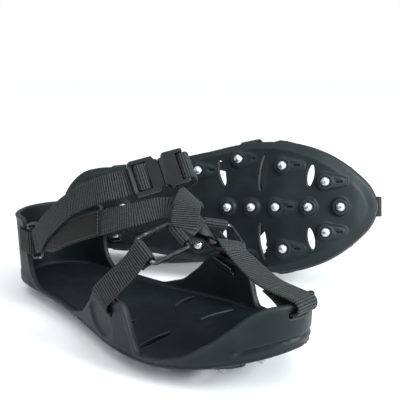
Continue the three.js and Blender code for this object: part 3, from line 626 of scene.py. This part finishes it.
def evenly(frames):
    """Frames resampled at an even spacing, and the distance along at each."""
    frames = frames[np.concatenate([[True], step_lengths(frames) > 0.02])]
    at = np.concatenate([[0], np.cumsum(step_lengths(frames))])
    wanted = np.linspace(0, at[-1], max(2, int(at[-1] / WEB_STEP)))
    flat = frames.reshape(len(frames), 9)
    even = np.stack([np.interp(wanted, at, flat[:, k]) for k in range(9)], 1).reshape(-1, 3, 3)
    even[:, 2] = unit_rows(even[:, 2])
    even[:, 1] = squared_rows(even[:, 1], even[:, 2])
    return even, wanted


def run_length(frames):
    """Length along the middle of a run of webbing."""
    return evenly(frames)[1][-1]


def webbing(frames, ring=False, width=WEB_WIDTH, thick=WEB_THICK, rib=RIB_HEIGHT, pitch=RIB_PITCH):
    """Woven webbing along frames: rounded selvages, and ribs across it on both faces."""
    frames, at = evenly(frames)
    if ring:
        frames, at = frames[:-1], at[:-1]
    half, high = width / 2, thick / 2
    face = np.linspace(-half + SELVAGE, half - SELVAGE, 9)
    # Each row of the section: across, through, and how much of the ribs it takes.
    upper = [(v, high, 1.0) for v in face]
    lower = [(v, -high, -1.0) for v in face[::-1]]
    right_edge = [(half - 0.2, high * 0.6, 0.3), (half, 0, 0), (half - 0.2, -high * 0.6, -0.3)]
    left_edge = [(-v, -h, -r) for v, h, r in right_edge]
    rows = np.array(upper + right_edge + lower + left_edge)
    wave = -rib * (0.5 - 0.5 * np.cos(2 * math.pi * at / pitch))
    uneven_width = 1 + 0.006 * np.sin(at / 9)
    across = rows[None, :, 0] * uneven_width[:, None]
    through = rows[None, :, 1] + rows[None, :, 2] * wave[:, None]
    p, w, n = frames[:, None, 0], frames[:, None, 1], frames[:, None, 2]
    sections = p + w * across[..., None] + n * through[..., None]
    uv = np.stack(np.broadcast_arrays(at[:, None], rows[None, :, 0]), -1).reshape(-1, 2)
    return loft(sections, ring, uv=uv)


def stitch(centre, along, out, length):
    """One stitch of thread lying on a face."""
    side = np.cross(out, along)
    angles = np.arange(6) * math.pi / 3
    rings = []
    for t in (-1.0, -0.75, 0, 0.75, 1.0):
        radius = THREAD_RADIUS * (0.35 if abs(t) == 1 else 1.0)
        sink = 0.3 * THREAD_RADIUS * t * t
        middle = centre + along * t * length / 2 - out * sink
        rings.append([middle + radius * (out * math.sin(a) + side * math.cos(a)) for a in angles])
    return loft(rings, mark=1)


def frame_at(frames, distance):
    """The frame at a distance along a run; a negative distance counts from its end."""
    even, at = evenly(frames)
    if distance < 0:
        distance += at[-1]
    return even[int(np.argmin(np.abs(at - distance)))]


def seams(frames, distances, lift=WEB_FACE, side=1):
    """Rows of stitches across a strap at distances along it, on its outer or inner face."""
    places = np.arange(-STITCH_REACH, STITCH_REACH + 0.1, STITCH_PITCH)
    rows = []
    for p, w, n in [frame_at(frames, distance) for distance in distances]:
        rows += [stitch(p + w * v + n * side * lift, w, n * side, 1.9) for v in places]
    return rows


def edge_seam(frames, start, end, offset, lift):
    """Two rows of stitches along a strap, near its edges."""
    rows = []
    for distance in np.arange(start, end, 2.8):
        p, w, n = frame_at(frames, distance)
        rows += [stitch(p + w * v + n * lift, np.cross(n, w), n, 2.0) for v in (-offset, offset)]
    return rows


def joined(*parts):
    return np.concatenate(parts)


# ---- Wire rings ----

HALF_SPAN = RING_SPAN / 2
SQUARE_RING = [(a * HALF_SPAN, b * HALF_SPAN) for a, b in CORNER_SIGNS]
HEEL_RING = [(a * (HALF_SPAN + 0.8), b * HEEL_RING_REACH / 2) for a, b in CORNER_SIGNS]


class RingFrame:
    """A ring's centre, two directions along its sides, and the direction it faces."""

    def __init__(self, centre, e1, e2, n):
        self.centre, self.e1, self.e2, self.n = centre, e1, e2, n

    def bar(self, a, b):
        return self.centre + self.e1 * a * HALF_SPAN + self.e2 * b * HALF_SPAN


def instep_ring(centre, facing, degrees):
    """A ring lying on the instep, turned in its own plane from the toe direction."""
    n = unit(facing)
    toe = squared(vec(1, 0, 0), n)
    inward = np.cross(n, toe)
    angle = math.radians(degrees)
    e2 = toe * math.cos(angle) + inward * math.sin(angle)
    return RingFrame(centre, np.cross(e2, n), e2, n)


OUTER_RING = instep_ring(vec(61, -31.5, 86.5), vec(0.3, -0.4, 0.87), 72)
INNER_RING = instep_ring(vec(74, 14, 87), vec(0.4, 0.1, 0.91), 250)


def heel_ring(side):
    e2 = unit(vec(1, 0, HEEL_BAR_TILT))
    e1 = unit(vec(-HEEL_BAR_TILT, 0, 1))
    rear = wall_point(HEEL_REAR_X, HEEL_RING_Z, side)
    return RingFrame(rear + e2 * HEEL_RING_REACH / 2, e1, e2, vec(0, side, 0))


def wire_ring(ring, corners):
    """A bent round wire through flat corners, each bent on a small radius."""
    corners = np.array(corners, float)
    path = []
    for before, corner, after in zip(np.roll(corners, 1, 0), corners, np.roll(corners, -1, 0)):
        start = corner + unit(before - corner) * RING_BEND
        end = corner + unit(after - corner) * RING_BEND
        for t in np.linspace(0, 1, 9):
            path.append(start * (1 - t) ** 2 + corner * 2 * t * (1 - t) + end * t * t)
    points = np.array([ring.centre + ring.e1 * a + ring.e2 * b for a, b in path])
    tangents = np.roll(points, -1, 0) - np.roll(points, 1, 0)
    angles = np.arange(16) * math.pi / 8
    sections = []
    for p, tangent in zip(points, tangents):
        out = unit(np.cross(tangent, ring.n))
        sections.append([p + RING_WIRE * (out * math.cos(a) + ring.n * math.sin(a)) for a in angles])
    return loft(sections, ring=True)


# ---- Harness ----

def heel_loop(side):
    """A closed loop of webbing through a heel slot that holds a heel ring."""
    radius = WALL / 2 + 5 * GAP + WEB_THICK / 2
    slot_end = wall_point(HEEL_SLOT_X + radius, HEEL_RING_Z, side)
    ring_end = wall_point(HEEL_REAR_X + 2.4, HEEL_RING_Z, side)
    along = unit(ring_end - slot_end)
    out = np.cross(vec(0, 0, 1), along)

    def half(middle, start):
        angles = (start + np.linspace(0, math.pi, 20))[:, None]
        n = along * np.cos(angles) + out * np.sin(angles)
        return np.stack([middle + n * radius, np.repeat(vec(0, 0, 1)[None], 20, 0), n], 1)

    loop = joined(half(ring_end, -math.pi / 2), half(slot_end, math.pi / 2))
    return webbing(joined(loop, loop[:1]), ring=True)


def heel_end(side, radius, lap):
    """A strap's end on the front bar of a heel ring."""
    ring = heel_ring(side)
    bar = wall_point(HEEL_REAR_X, HEEL_RING_Z, side) + ring.e2 * HEEL_RING_REACH
    return End(bar, ring.e1, ring.e2, ring.n, radius, lap)


def side_strap(side):
    """From an instep ring down to the wing on the same side."""
    if side == OUTER:
        bar, axis = OUTER_RING.bar(0, -1), OUTER_RING.e1
    else:
        bar, axis = INNER_RING.bar(1, 0), INNER_RING.e2
    wing = wall_point(*WING_BAR, side)
    start = End(bar, axis, wing - bar, vec(0.2, side * 0.8, 0.5), WIRE_EYE, 9)
    end = End(wing, wing_slot_line(side), vec(0, 0, 1), vec(0, side, 0), WING_EYE)
    middle = run(start.leaving() + end.leaving()[::-1])
    strap = webbing(joined(start.wrapped_start(), middle, end.half_turn()))
    halfway = run_length(middle) * 0.55
    return strap.join(*seams(middle, (7.0, 10.5, halfway, halfway + 3.4)))


def toe_strap():
    """From the inner instep ring to the slot in the toe."""
    bar_height = 60.2
    start = End(INNER_RING.bar(-1, 0), INNER_RING.e2, -INNER_RING.e1, INNER_RING.n, WIRE_EYE, 8)
    rim_bar = vec(HALF - 0.9, 0, bar_height)
    end = End(rim_bar, vec(0, 1, 0), vec(-1, 0, 0.12), vec(0, 0, 1), bar_height - TOE_SLOT_Z, 24)
    middle = run(start.leaving() + [(vec(106, 4.5, 76), vec(0.35, 0, 0.93))] + end.leaving()[::-1])
    strap = webbing(joined(start.wrapped_start(), middle, end.half_turn(), end.lap_frames()))
    return strap.join(*seams(middle, (6.0, 9.0, -21, -17)))


INNER_TURN = End(INNER_RING.bar(0, 1), INNER_RING.e1, INNER_RING.e2, INNER_RING.n)
OUTER_TURN = End(OUTER_RING.bar(0, 1), OUTER_RING.e1, OUTER_RING.e2, OUTER_RING.n)


def crossing_rise():
    """The crossing strap from the outer heel ring up to the inner instep ring."""
    return run(heel_end(OUTER, WIRE_EYE, 9).leaving() + [
        (vec(-58, -48, 68), vec(0, -1, 0.1)),
        (vec(-28, -47.5, 81), vec(0.05, -1, 0.2)),
        (vec(4, -43, 92.5), vec(0.2, -0.9, 0.45)),
        (vec(27, -31, 100.5), vec(0.5, -0.55, 0.75)),
        (vec(45, -10, 105.5), vec(0.5, -0.3, 0.8)),
    ] + INNER_TURN.leaving()[::-1])


def crossing_strap():
    """One strap: up to the inner instep ring, back round the outer one, and over itself down again."""
    link_stops = INNER_TURN.leaving(-1) + OUTER_TURN.leaving(-1)[::-1]
    link = run([(p, -n) for p, n in link_stops])
    inner_end = heel_end(INNER, WIRE_EYE, 9)
    down = run(OUTER_TURN.leaving() + [
        (vec(60, -7, 107.5), vec(0.35, -0.35, 0.87)),
        (vec(49, 7, 112), vec(0.55, 0.1, 0.8)),
        (vec(32, 27, 104.5), vec(0.5, 0.55, 0.75)),
        (vec(6, 43, 93.5), vec(0.2, 0.9, 0.45)),
        (vec(-28, 48, 81), vec(0.05, 1, 0.2)),
        (vec(-58, 48, 68), vec(0, 1, 0.1)),
    ] + inner_end.leaving()[::-1])
    outer_end = heel_end(OUTER, WIRE_EYE, 9)
    rising = crossing_rise()
    strap = webbing(joined(
        outer_end.wrapped_start(), rising, INNER_TURN.half_turn(), link,
        reverse(OUTER_TURN.half_turn()), down, inner_end.half_turn(), inner_end.lap_frames(),
    ))
    return strap.join(*seams(rising, (6.0, 9.5)), *seams(down, (-6.0, -9.5)))


LABEL_THICK = 1.0
LABEL_SPAN = (-54, 6)  # x along the cleat


def label_patch():
    """A blank woven label with a folded, stitched border."""
    rising = crossing_rise()
    kept = rising[(rising[:, 0, 0] > LABEL_SPAN[0]) & (rising[:, 0, 0] < LABEL_SPAN[1])]
    kept[:, 0] += kept[:, 2] * ((WEB_THICK + LABEL_THICK) / 2 + GAP * 0.4)
    patch = webbing(kept, width=WEB_WIDTH + 1, thick=LABEL_THICK, rib=0.05, pitch=1.2)
    face = LABEL_THICK / 2 + 0.05
    patch.join(*edge_seam(kept, 2.4, run_length(kept) - 2, 8.6, face))
    return patch.join(*seams(kept, (1.6, -1.6), face))


# ---- Buckle and ankle straps ----

BUCKLE_LENGTH = 43.0
BUCKLE_ALONG = unit(vec(0.427, 0.878, 0.216))
BUCKLE_OUT = squared(vec(0.854, -0.277, 0.432), BUCKLE_ALONG)
BUCKLE_ACROSS = np.cross(BUCKLE_OUT, BUCKLE_ALONG)
BUCKLE_CENTRE = vec(27, -5, 128.5)
BUCKLE_BACK = -BUCKLE_LENGTH / 2
BUCKLE_FRONT = BUCKLE_LENGTH / 2
BAR_WIDTH = 2.8
BAR_HALF = 1.35
WEB_SLOT = 4.0
CENTRE_BAR = BUCKLE_BACK + BAR_WIDTH * 1.5 + WEB_SLOT
ANKLE_PIVOT = vec(-62, 50.6, 78)
ANKLE_ALONG = unit(vec(0.78, 0, 0.62))
BLEND_REACH = 7.0  # a reach each way from the inner ankle strap's pivot, along the strap


def on_buckle(x, z):
    return BUCKLE_CENTRE + BUCKLE_ALONG * x + BUCKLE_OUT * z


def outer_ankle_strap():
    """Up from the heel ring, through the buckle's ladder lock, and back along itself."""
    end = heel_end(OUTER, OUTER_EYE, 0)
    # Heights of the webbing's middle: under the tail, just under the centre bar, and over it.
    load_side, tail_side, top_side = -(BAR_HALF + WEB_THICK * 1.5 + 1), -(BAR_HALF + 1.3), BAR_HALF + 1.3
    up_at = CENTRE_BAR + BAR_WIDTH / 2 + WEB_SLOT / 2
    down_at = CENTRE_BAR - BAR_WIDTH / 2 - WEB_SLOT / 2
    turn = 1.8
    path = np.array([
        (BUCKLE_BACK - 4, load_side),
        (up_at - turn, load_side), (up_at - 0.5, load_side + 0.6), (up_at, load_side + turn),
        (up_at, top_side - turn), (up_at - 0.6, top_side - 0.6), (up_at - turn, top_side),
        (down_at + turn, top_side), (down_at + 0.6, top_side - 0.6), (down_at, top_side - turn),
        (down_at, tail_side + turn), (down_at - 0.6, tail_side + 0.6), (down_at - turn, tail_side),
        (BUCKLE_BACK - 4, tail_side),
    ])
    tangents = unit_rows(np.gradient(path, axis=0))
    lock = np.stack([
        np.array([on_buckle(x, z) for x, z in path]),
        np.repeat(-BUCKLE_ACROSS[None], len(path), 0),
        -tangents[:, 1:] * BUCKLE_ALONG + tangents[:, :1] * BUCKLE_OUT,
    ], 1)
    middle = [
        (vec(-62, -51.2, 78), vec(0, -1, 0.15)),
        (vec(-30, -47, 102), vec(0.1, -0.95, 0.35)),
        (vec(0, -38, 116), vec(0.4, -0.8, 0.45)),
    ]
    load = run(end.leaving() + middle + [(on_buckle(BUCKLE_BACK - 6, load_side), BUCKLE_OUT)])
    lift = tail_side - load_side + 0.05
    tail_stops = [(p + unit(n) * lift, n) for p, n in middle[1:]]
    tail = run(tail_stops + [(on_buckle(BUCKLE_BACK - 6, tail_side), BUCKLE_OUT)])[::-1].copy()
    tail[:, 2] *= -1  # it lies face down, folded back over the centre bar
    strap = webbing(joined(reverse(end.half_turn()), load, lock, tail))
    return strap.join(*seams(load, (11.0, 14.5)), *seams(tail, (-3.0, -5.6), side=-1))


def inner_ankle_strap():
    """From the inner heel ring to the female half of the buckle, as one strap."""
    start = heel_end(INNER, OUTER_EYE, 0)
    bar = on_buckle(BUCKLE_FRONT - BAR_WIDTH / 2, 0)
    radius = math.hypot(BAR_WIDTH / 2, BAR_HALF) + GAP + WEB_THICK / 2
    end = End(bar, np.cross(BUCKLE_ALONG, BUCKLE_OUT), BUCKLE_ALONG, BUCKLE_OUT, radius)
    lower = run(start.leaving() + [
        (ANKLE_PIVOT, vec(0, 1, 0.15)),
        (ANKLE_PIVOT + ANKLE_ALONG * 6, vec(0, 1, 0.17)),
    ])
    upper = run([
        (ANKLE_PIVOT + ANKLE_ALONG * 0.6, vec(0, 1, 0.15)),
        (vec(-30, 48, 102), vec(0.1, 0.95, 0.35)),
        (vec(2, 43, 116), vec(0.4, 0.8, 0.45)),
        (vec(24, 32, 126), vec(0.7, 0.5, 0.5)),
    ] + end.leaving()[::-1])
    strap = webbing(joined(reverse(start.half_turn()), lower[:-24], upper, end.half_turn()))
    return strap.join(*seams(upper, (9.0, 12.5, -5.0, -8.5)))


# ---- Materials ----

def fill(node, inputs):
    """Sets the inputs of a node: a socket is linked, None is left out, anything else is a value."""
    for name, value in inputs.items():
        if isinstance(value, bpy.types.NodeSocket):
            node.id_data.links.new(value, node.inputs[name])
        elif value is not None:
            node.inputs[name].default_value = value
    return node


class Nodes:
    """Short calls for building one procedural material."""

    def __init__(self, name, colour, roughness, metallic=0.0):
        self.material = bpy.data.materials.new(name)
        self.material.use_nodes = True
        self.shader = self.material.node_tree.nodes["Principled BSDF"]
        fill(self.shader, {"Base Color": (*colour, 1), "Roughness": roughness, "Metallic": metallic})
        self.place = self.add("ShaderNodeTexCoord").outputs["Object"]

    def add(self, kind, inputs=None):
        return fill(self.material.node_tree.nodes.new(kind), inputs or {})

    def math(self, operation, a, b=None):
        node = self.add("ShaderNodeMath", {0: a, 1: b})
        node.operation = operation
        return node.outputs[0]

    def noise(self, per_metre, detail):
        """Noise that is fixed to the piece, so that the grain moves with it."""
        inputs = {"Vector": self.place, "Scale": per_metre, "Detail": detail}
        return self.add("ShaderNodeTexNoise", inputs).outputs["Fac"]

    def ramp(self, source, stops):
        node = self.add("ShaderNodeValToRGB", {"Fac": source})
        elements = node.color_ramp.elements
        while len(elements) < len(stops):
            elements.new(0.5)
        for element, (position, colour) in zip(elements, stops):
            element.position = position
            element.color = (*colour, 1)
        return node.outputs["Color"]

    def remap(self, source, low, high):
        inputs = {"Value": source, "To Min": low, "To Max": high}
        return self.add("ShaderNodeMapRange", inputs).outputs["Result"]

    def painted_edge_highlight(self, colour, highlight_colour, flat, sharp):
        """A colour that turns to a paler one where the surface bends outwards sharply: a painted highlight
        on sharp edges.
        """
        bend = self.add("ShaderNodeNewGeometry").outputs["Pointiness"]
        edge = self.add("ShaderNodeMapRange", {"Value": bend, "From Min": flat, "From Max": sharp})
        inputs = {"Fac": edge.outputs["Result"], "Color1": colour, "Color2": (*highlight_colour, 1)}
        return self.add("ShaderNodeMixRGB", inputs).outputs["Color"]

    def bump(self, height, distance, strength, after=None):
        """Fine relief from a height; `after` is the relief that it adds to."""
        inputs = {"Height": height, "Distance": distance, "Strength": strength, "Normal": after}
        return self.add("ShaderNodeBump", inputs).outputs["Normal"]

    def finish(self, colour, roughness=None, normal=None):
        fill(self.shader, {"Base Color": colour, "Roughness": roughness, "Normal": normal})
        return self.material


def grey(value):
    """A near-neutral dark colour, a little blue-green."""
    return (value * 0.8, value, value * 1.05)


def slate(value):
    """A dark blue-grey, for rubber and plastic."""
    return (value * 0.62, value, value * 1.1)


def charcoal(value):
    """A dark grey with a little green, for cloth and for the painted highlights on sharp edges."""
    return (value * 0.88, value, value * 0.96)


def rubber_material():
    """Moulded rubber: a soft sheen, fine pitted grain, pale scuffing in large patches, and a painted
    highlight on sharp edges.
    """
    nodes = Nodes("moulded_rubber", grey(0.01), 0.5)
    scuff = nodes.noise(38, 5)
    grain = nodes.noise(1500, 2)
    colour = nodes.ramp(scuff, [(0.3, slate(0.005)), (0.55, slate(0.0085)), (0.78, slate(0.016))])
    # Sharp outward edges of the rubber turn paler: a painted highlight.
    colour = nodes.painted_edge_highlight(colour, charcoal(0.042), 0.51, 0.58)
    roughness = nodes.remap(nodes.noise(90, 6), 0.36, 0.62)
    fine = nodes.bump(grain, 0.00012, 0.35)
    normal = nodes.bump(nodes.noise(260, 3), 0.0004, 0.25, fine)
    fill(nodes.shader, {"Specular IOR Level": 0.24, "Specular Tint": (0.9, 0.98, 1, 1)})
    return nodes.finish(colour, roughness, normal)


def yarn_place(nodes):
    """The webbing's own coordinates in millimetres: along it, and across it."""
    uv = nodes.add("ShaderNodeUVMap")
    uv.uv_map = "yarn"
    split = nodes.add("ShaderNodeSeparateXYZ", {0: uv.outputs["UV"]})
    return split.outputs["X"], split.outputs["Y"]


def swell(nodes, shape, turns):
    """A row of rounded swellings, one for each whole number of turns."""
    return nodes.math("ABSOLUTE", nodes.math(shape, nodes.math("MULTIPLY", turns, math.pi)))


def yarn_height(nodes, pick, end):
    """A plain weave from the webbing's own coordinates: floats `pick` long along it, `end` wide."""
    along, across = yarn_place(nodes)
    column = nodes.math("DIVIDE", across, end)
    offset = nodes.math("MULTIPLY", nodes.math("FLOOR", column), 0.5)
    row = nodes.math("ADD", nodes.math("DIVIDE", along, pick), offset)
    over = swell(nodes, "SINE", row)
    beside = swell(nodes, "SINE", column)
    return nodes.math("MULTIPLY", over, nodes.math("POWER", beside, 0.5))


def painted_rib_shading(nodes):
    """The webbing's ribs as painted highlight and shade: highest on the crests, where its shape is highest,
    and lowest in the troughs.
    """
    along, _ = yarn_place(nodes)
    return swell(nodes, "COSINE", nodes.math("DIVIDE", along, RIB_PITCH))


YARN_SHARE = 0.75  # weight of the weave and ribs, as painted shade and highlight, in the yarn's colour
LINT_SHARE = 0.4


def woven_material(name, dark, light, pick, end, rib_shading_share=0.0, roughness=0.6):
    """Woven yarn: painted shade in the hollows of the weave and the troughs of the ribs, a painted
    highlight on the yarn tops and rib crests, and lint and uneven wear.
    """
    nodes = Nodes(name, light, roughness)
    height = yarn_height(nodes, pick, end)
    lint = nodes.math("MULTIPLY", nodes.noise(420, 4), LINT_SHARE)
    # The weave's height and the ribs paint shade in the hollows and a highlight on the tops; the lint is
    # the yarn's own.
    weave = nodes.math("MULTIPLY", height, YARN_SHARE * (1 - rib_shading_share))
    ribs = nodes.math("MULTIPLY", painted_rib_shading(nodes), YARN_SHARE * rib_shading_share)
    shade = nodes.math("ADD", nodes.math("ADD", weave, ribs), lint)
    colour = nodes.ramp(shade, [(0.4, dark), (0.88, light)])
    rough = nodes.remap(nodes.noise(70, 5), roughness - 0.12, roughness + 0.16)
    fuzz = nodes.bump(nodes.noise(3200, 2), 0.00008, 0.4)
    normal = nodes.bump(height, 0.0003, 0.9, fuzz)
    fill(nodes.shader, {"Specular IOR Level": 0.12, "Sheen Weight": 0.05, "Sheen Roughness": 0.5})
    return nodes.finish(colour, rough, normal)


def thread_material():
    nodes = Nodes("stitch_thread", grey(0.05), 0.6)
    twist = nodes.noise(2600, 2)
    colour = nodes.ramp(twist, [(0.35, grey(0.02)), (0.7, grey(0.06))])
    return nodes.finish(colour, nodes.remap(twist, 0.45, 0.8), nodes.bump(twist, 0.0001, 0.5))


def stud_material():
    """Bright plated steel, turned on a lathe, with fine handling marks."""
    nodes = Nodes("plated_steel", (0.55, 0.56, 0.57), 0.3, 1.0)
    blotch = nodes.noise(420, 4)
    marks = nodes.noise(2400, 5)
    colour = nodes.ramp(blotch, [(0.3, (0.40, 0.41, 0.42)), (0.6, (0.62, 0.63, 0.64))])
    return nodes.finish(colour, nodes.remap(marks, 0.2, 0.38), nodes.bump(marks, 0.00004, 0.3))


def steel_grey(value):
    return (value * 0.96, value, value * 1.02)


def ring_material():
    """Dark coated wire whose coating is thin and bright where straps rub it."""
    nodes = Nodes("coated_wire", steel_grey(0.1), 0.3, 0.85)
    wear = nodes.noise(210, 5)
    colour = nodes.ramp(wear, [(0.45, steel_grey(0.03)), (0.62, steel_grey(0.06)), (0.76, steel_grey(0.4))])
    return nodes.finish(colour, nodes.remap(nodes.noise(900, 4), 0.2, 0.42), nodes.bump(wear, 0.00008, 0.5))


def plastic_material():
    """Moulded acetal with a faint spark-eroded texture, and a painted highlight on sharp edges."""
    nodes = Nodes("moulded_plastic", grey(0.01), 0.3)
    texture = nodes.noise(2100, 3)
    colour = nodes.ramp(nodes.noise(120, 4), [(0.3, slate(0.002)), (0.75, slate(0.005))])
    # Sharp outward edges of the buckle turn paler: a painted highlight.
    colour = nodes.painted_edge_highlight(colour, charcoal(0.034), 0.52, 0.6)
    fill(nodes.shader, {"Specular IOR Level": 0.28})
    return nodes.finish(colour, nodes.remap(texture, 0.3, 0.46), nodes.bump(texture, 0.00008, 0.5))


RUBBER = rubber_material()
# Each yarn's colours run from a painted shade, in the weave's hollows, to a painted highlight, on its tops.
WEBBING = woven_material("ribbed_webbing", charcoal(0.001), charcoal(0.05), RIB_PITCH, 1.25, 0.7, 0.72)
LABEL = woven_material("label_weave", charcoal(0.003), charcoal(0.014), 0.8, 0.6)
THREAD = thread_material()
STEEL = stud_material()
WIRE = ring_material()
PLASTIC = plastic_material()


# ---- Assembly ----

STUD_04_X = 42.0  # layout place of the stud that fixes the right cleat in the frame
LEFT_TURNS = [(31, "Z"), (-3.5, "Y"), (-102, "X")]  # it lies tipped on its side
LEFT_PLACE = (-33.5, 106, 74.97)


def cleats():
    """Both cleats, placed in the shared frame from the box of one stud."""
    low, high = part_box("right_stud_04")
    pair = Matrix.Translation(((low + high) / 2 / MM - Vector((STUD_04_X, 0, 0))) * Vector((1, 1, 0)))
    left = pair @ Matrix.Translation(LEFT_PLACE)
    for degrees, axis in LEFT_TURNS:
        left = left @ Matrix.Rotation(math.radians(degrees), 4, axis)
    return Cleat("right", pair, False), Cleat("left", left, True)


BUCKLE_BEVEL = 1.2
PRONG_BEVEL = 0.3


def soften_plastic(cleat):
    """The buckle's CAD nodes keep their shape and get rounded edges and a moulded finish."""
    for name in ("buckle_male", "buckle_prong_low", "buckle_prong_high", "buckle_female"):
        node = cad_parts[f"{cleat.prefix}_{name}"]
        node.data.materials.clear()
        node.data.materials.append(PLASTIC)
        weld = node.modifiers.new("weld", "WELD")
        weld.merge_threshold = 0.02 * MM
        bevel = node.modifiers.new("bevel", "BEVEL")
        bevel.width = (PRONG_BEVEL if "prong" in name else BUCKLE_BEVEL) * MM
        bevel.segments = 3
        bevel.limit_method = "ANGLE"
        bevel.angle_limit = math.radians(32)
        bevel.harden_normals = True


def build_cleat(cleat, rubber, stud):
    cleat.add("sole", rubber, [RUBBER], "rubber")
    for number, place in enumerate(both_sides(STUDS), 1):
        name = f"stud_{number:02d}"
        replaced = [name] if cleat.prefix == "right" else []
        cleat.add(name, stud.moved(stud_matrix(place)), [STEEL], "stud", replaced)
    cloth = [WEBBING, THREAD]
    for side, side_name in SIDE_NAMES.items():
        ring = OUTER_RING if side == OUTER else INNER_RING
        cleat.add(f"heel_loop_{side_name}", heel_loop(side), cloth, "webbing")
        cleat.add(f"heel_ring_{side_name}", wire_ring(heel_ring(side), HEEL_RING), [WIRE], "ring")
        cleat.add(f"instep_ring_{side_name}", wire_ring(ring, SQUARE_RING), [WIRE], "ring")
        cleat.add(f"side_strap_{side_name}", side_strap(side), cloth, "webbing")
    cleat.add("crossing_strap", crossing_strap(), cloth, "webbing")
    cleat.add("toe_strap", toe_strap(), cloth, "webbing")
    cleat.add("label_patch", label_patch(), [LABEL, THREAD], "label")
    cleat.add("ankle_strap_outer", outer_ankle_strap(), cloth, "webbing")
    inner = cleat.add(
        "ankle_strap_inner", inner_ankle_strap(), cloth, "webbing",
        replaced=["ankle_anchor_inner", "ankle_strap_inner"], blended=True,
    )
    reach = ANKLE_ALONG * BLEND_REACH
    start, end = cleat.to_frame([ANKLE_PIVOT - reach, ANKLE_PIVOT + reach])
    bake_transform(inner)
    soften_plastic(cleat)


RIGHT, LEFT = cleats()
rubber_shape = moulded_rubber()
stud = stud_shape()
for each in (RIGHT, LEFT):
    build_cleat(each, rubber_shape, stud)


# ---- Floor, light and camera ----

FLOOR_REACH = 30.0  # metres from the middle to each edge
LIGHT_AIM = Vector((0, 0, 0.05))


def studio_floor():
    mesh = bpy.data.meshes.new("floor")
    corners = [(a * FLOOR_REACH, b * FLOOR_REACH, 0) for a, b in CORNER_SIGNS]
    mesh.from_pydata(corners, [], [(0, 1, 2, 3)])
    nodes = Nodes("studio_floor", (0.93, 0.93, 0.93), 0.7)
    shade = nodes.ramp(nodes.noise(3, 2), [(0.3, (0.90, 0.90, 0.90)), (0.7, (0.94, 0.94, 0.94))])
    mesh.materials.append(nodes.finish(shade))
    linked("floor", mesh)


def area_light(name, place, size, power):
    """A cool rectangular light that faces the cleats."""
    light = bpy.data.lights.new(name, "AREA")
    light.shape = "RECTANGLE"
    light.size, light.size_y = size
    light.energy = power
    light.color = (0.9, 0.97, 1)
    holder = linked(name, light)
    holder.location = place
    holder.rotation_euler = (LIGHT_AIM - Vector(place)).to_track_quat("-Z", "Y").to_euler()


def studio_world():
    """A dim cool surround that is pure white where the camera sees it."""
    world = bpy.data.worlds.new("studio")
    world.use_nodes = True
    tree = world.node_tree
    surround = fill(tree.nodes["Background"], {"Color": (0.92, 0.98, 1, 1), "Strength": 0.68})
    seen = fill(tree.nodes.new("ShaderNodeBackground"), {"Color": (1, 1, 1, 1)})
    to_camera = tree.nodes.new("ShaderNodeLightPath").outputs["Is Camera Ray"]
    parts = {0: to_camera, 1: surround.outputs[0], 2: seen.outputs[0]}
    mix = fill(tree.nodes.new("ShaderNodeMixShader"), parts)
    fill(tree.nodes["World Output"], {"Surface": mix.outputs[0]})
    bpy.context.scene.world = world


def studio_lights():
    sun = bpy.data.lights.new("overhead", "SUN")
    sun.energy = 1.6
    sun.angle = math.radians(70)
    linked("overhead", sun).rotation_euler = (math.radians(8), math.radians(12), 0)
    area_light("key", (1.5, 0.45, 0.75), (0.8, 0.8), 42)
    area_light("front", (-0.3, -1.5, 0.9), (0.9, 0.5), 4)


VIEW_RIGHT = vec(0.698, 0.716, 0)
VIEW_UP = vec(-0.149, 0.145, 0.978)
VIEW_BACK = vec(0.700, -0.683, 0.208)
VIEW_PLACE = 46.4 * VIEW_RIGHT + 100.7 * VIEW_UP + 500 * VIEW_BACK
LENS = 54.4
SENSOR = 36.0


def camera():
    camera_data = bpy.data.cameras.new("photo_view")
    camera_data.lens = LENS
    camera_data.sensor_width = SENSOR
    holder = linked("photo_view", camera_data)
    axes = Matrix(np.stack([VIEW_RIGHT, VIEW_UP, VIEW_BACK], 1).tolist()).to_quaternion().to_matrix()
    holder.matrix_world = Matrix.Translation(tuple(RIGHT.to_frame(VIEW_PLACE))) @ axes.to_4x4()
    bpy.context.scene.camera = holder


studio_floor()
studio_world()
studio_lights()
camera()
bpy.context.scene.view_settings.view_transform = "Standard"
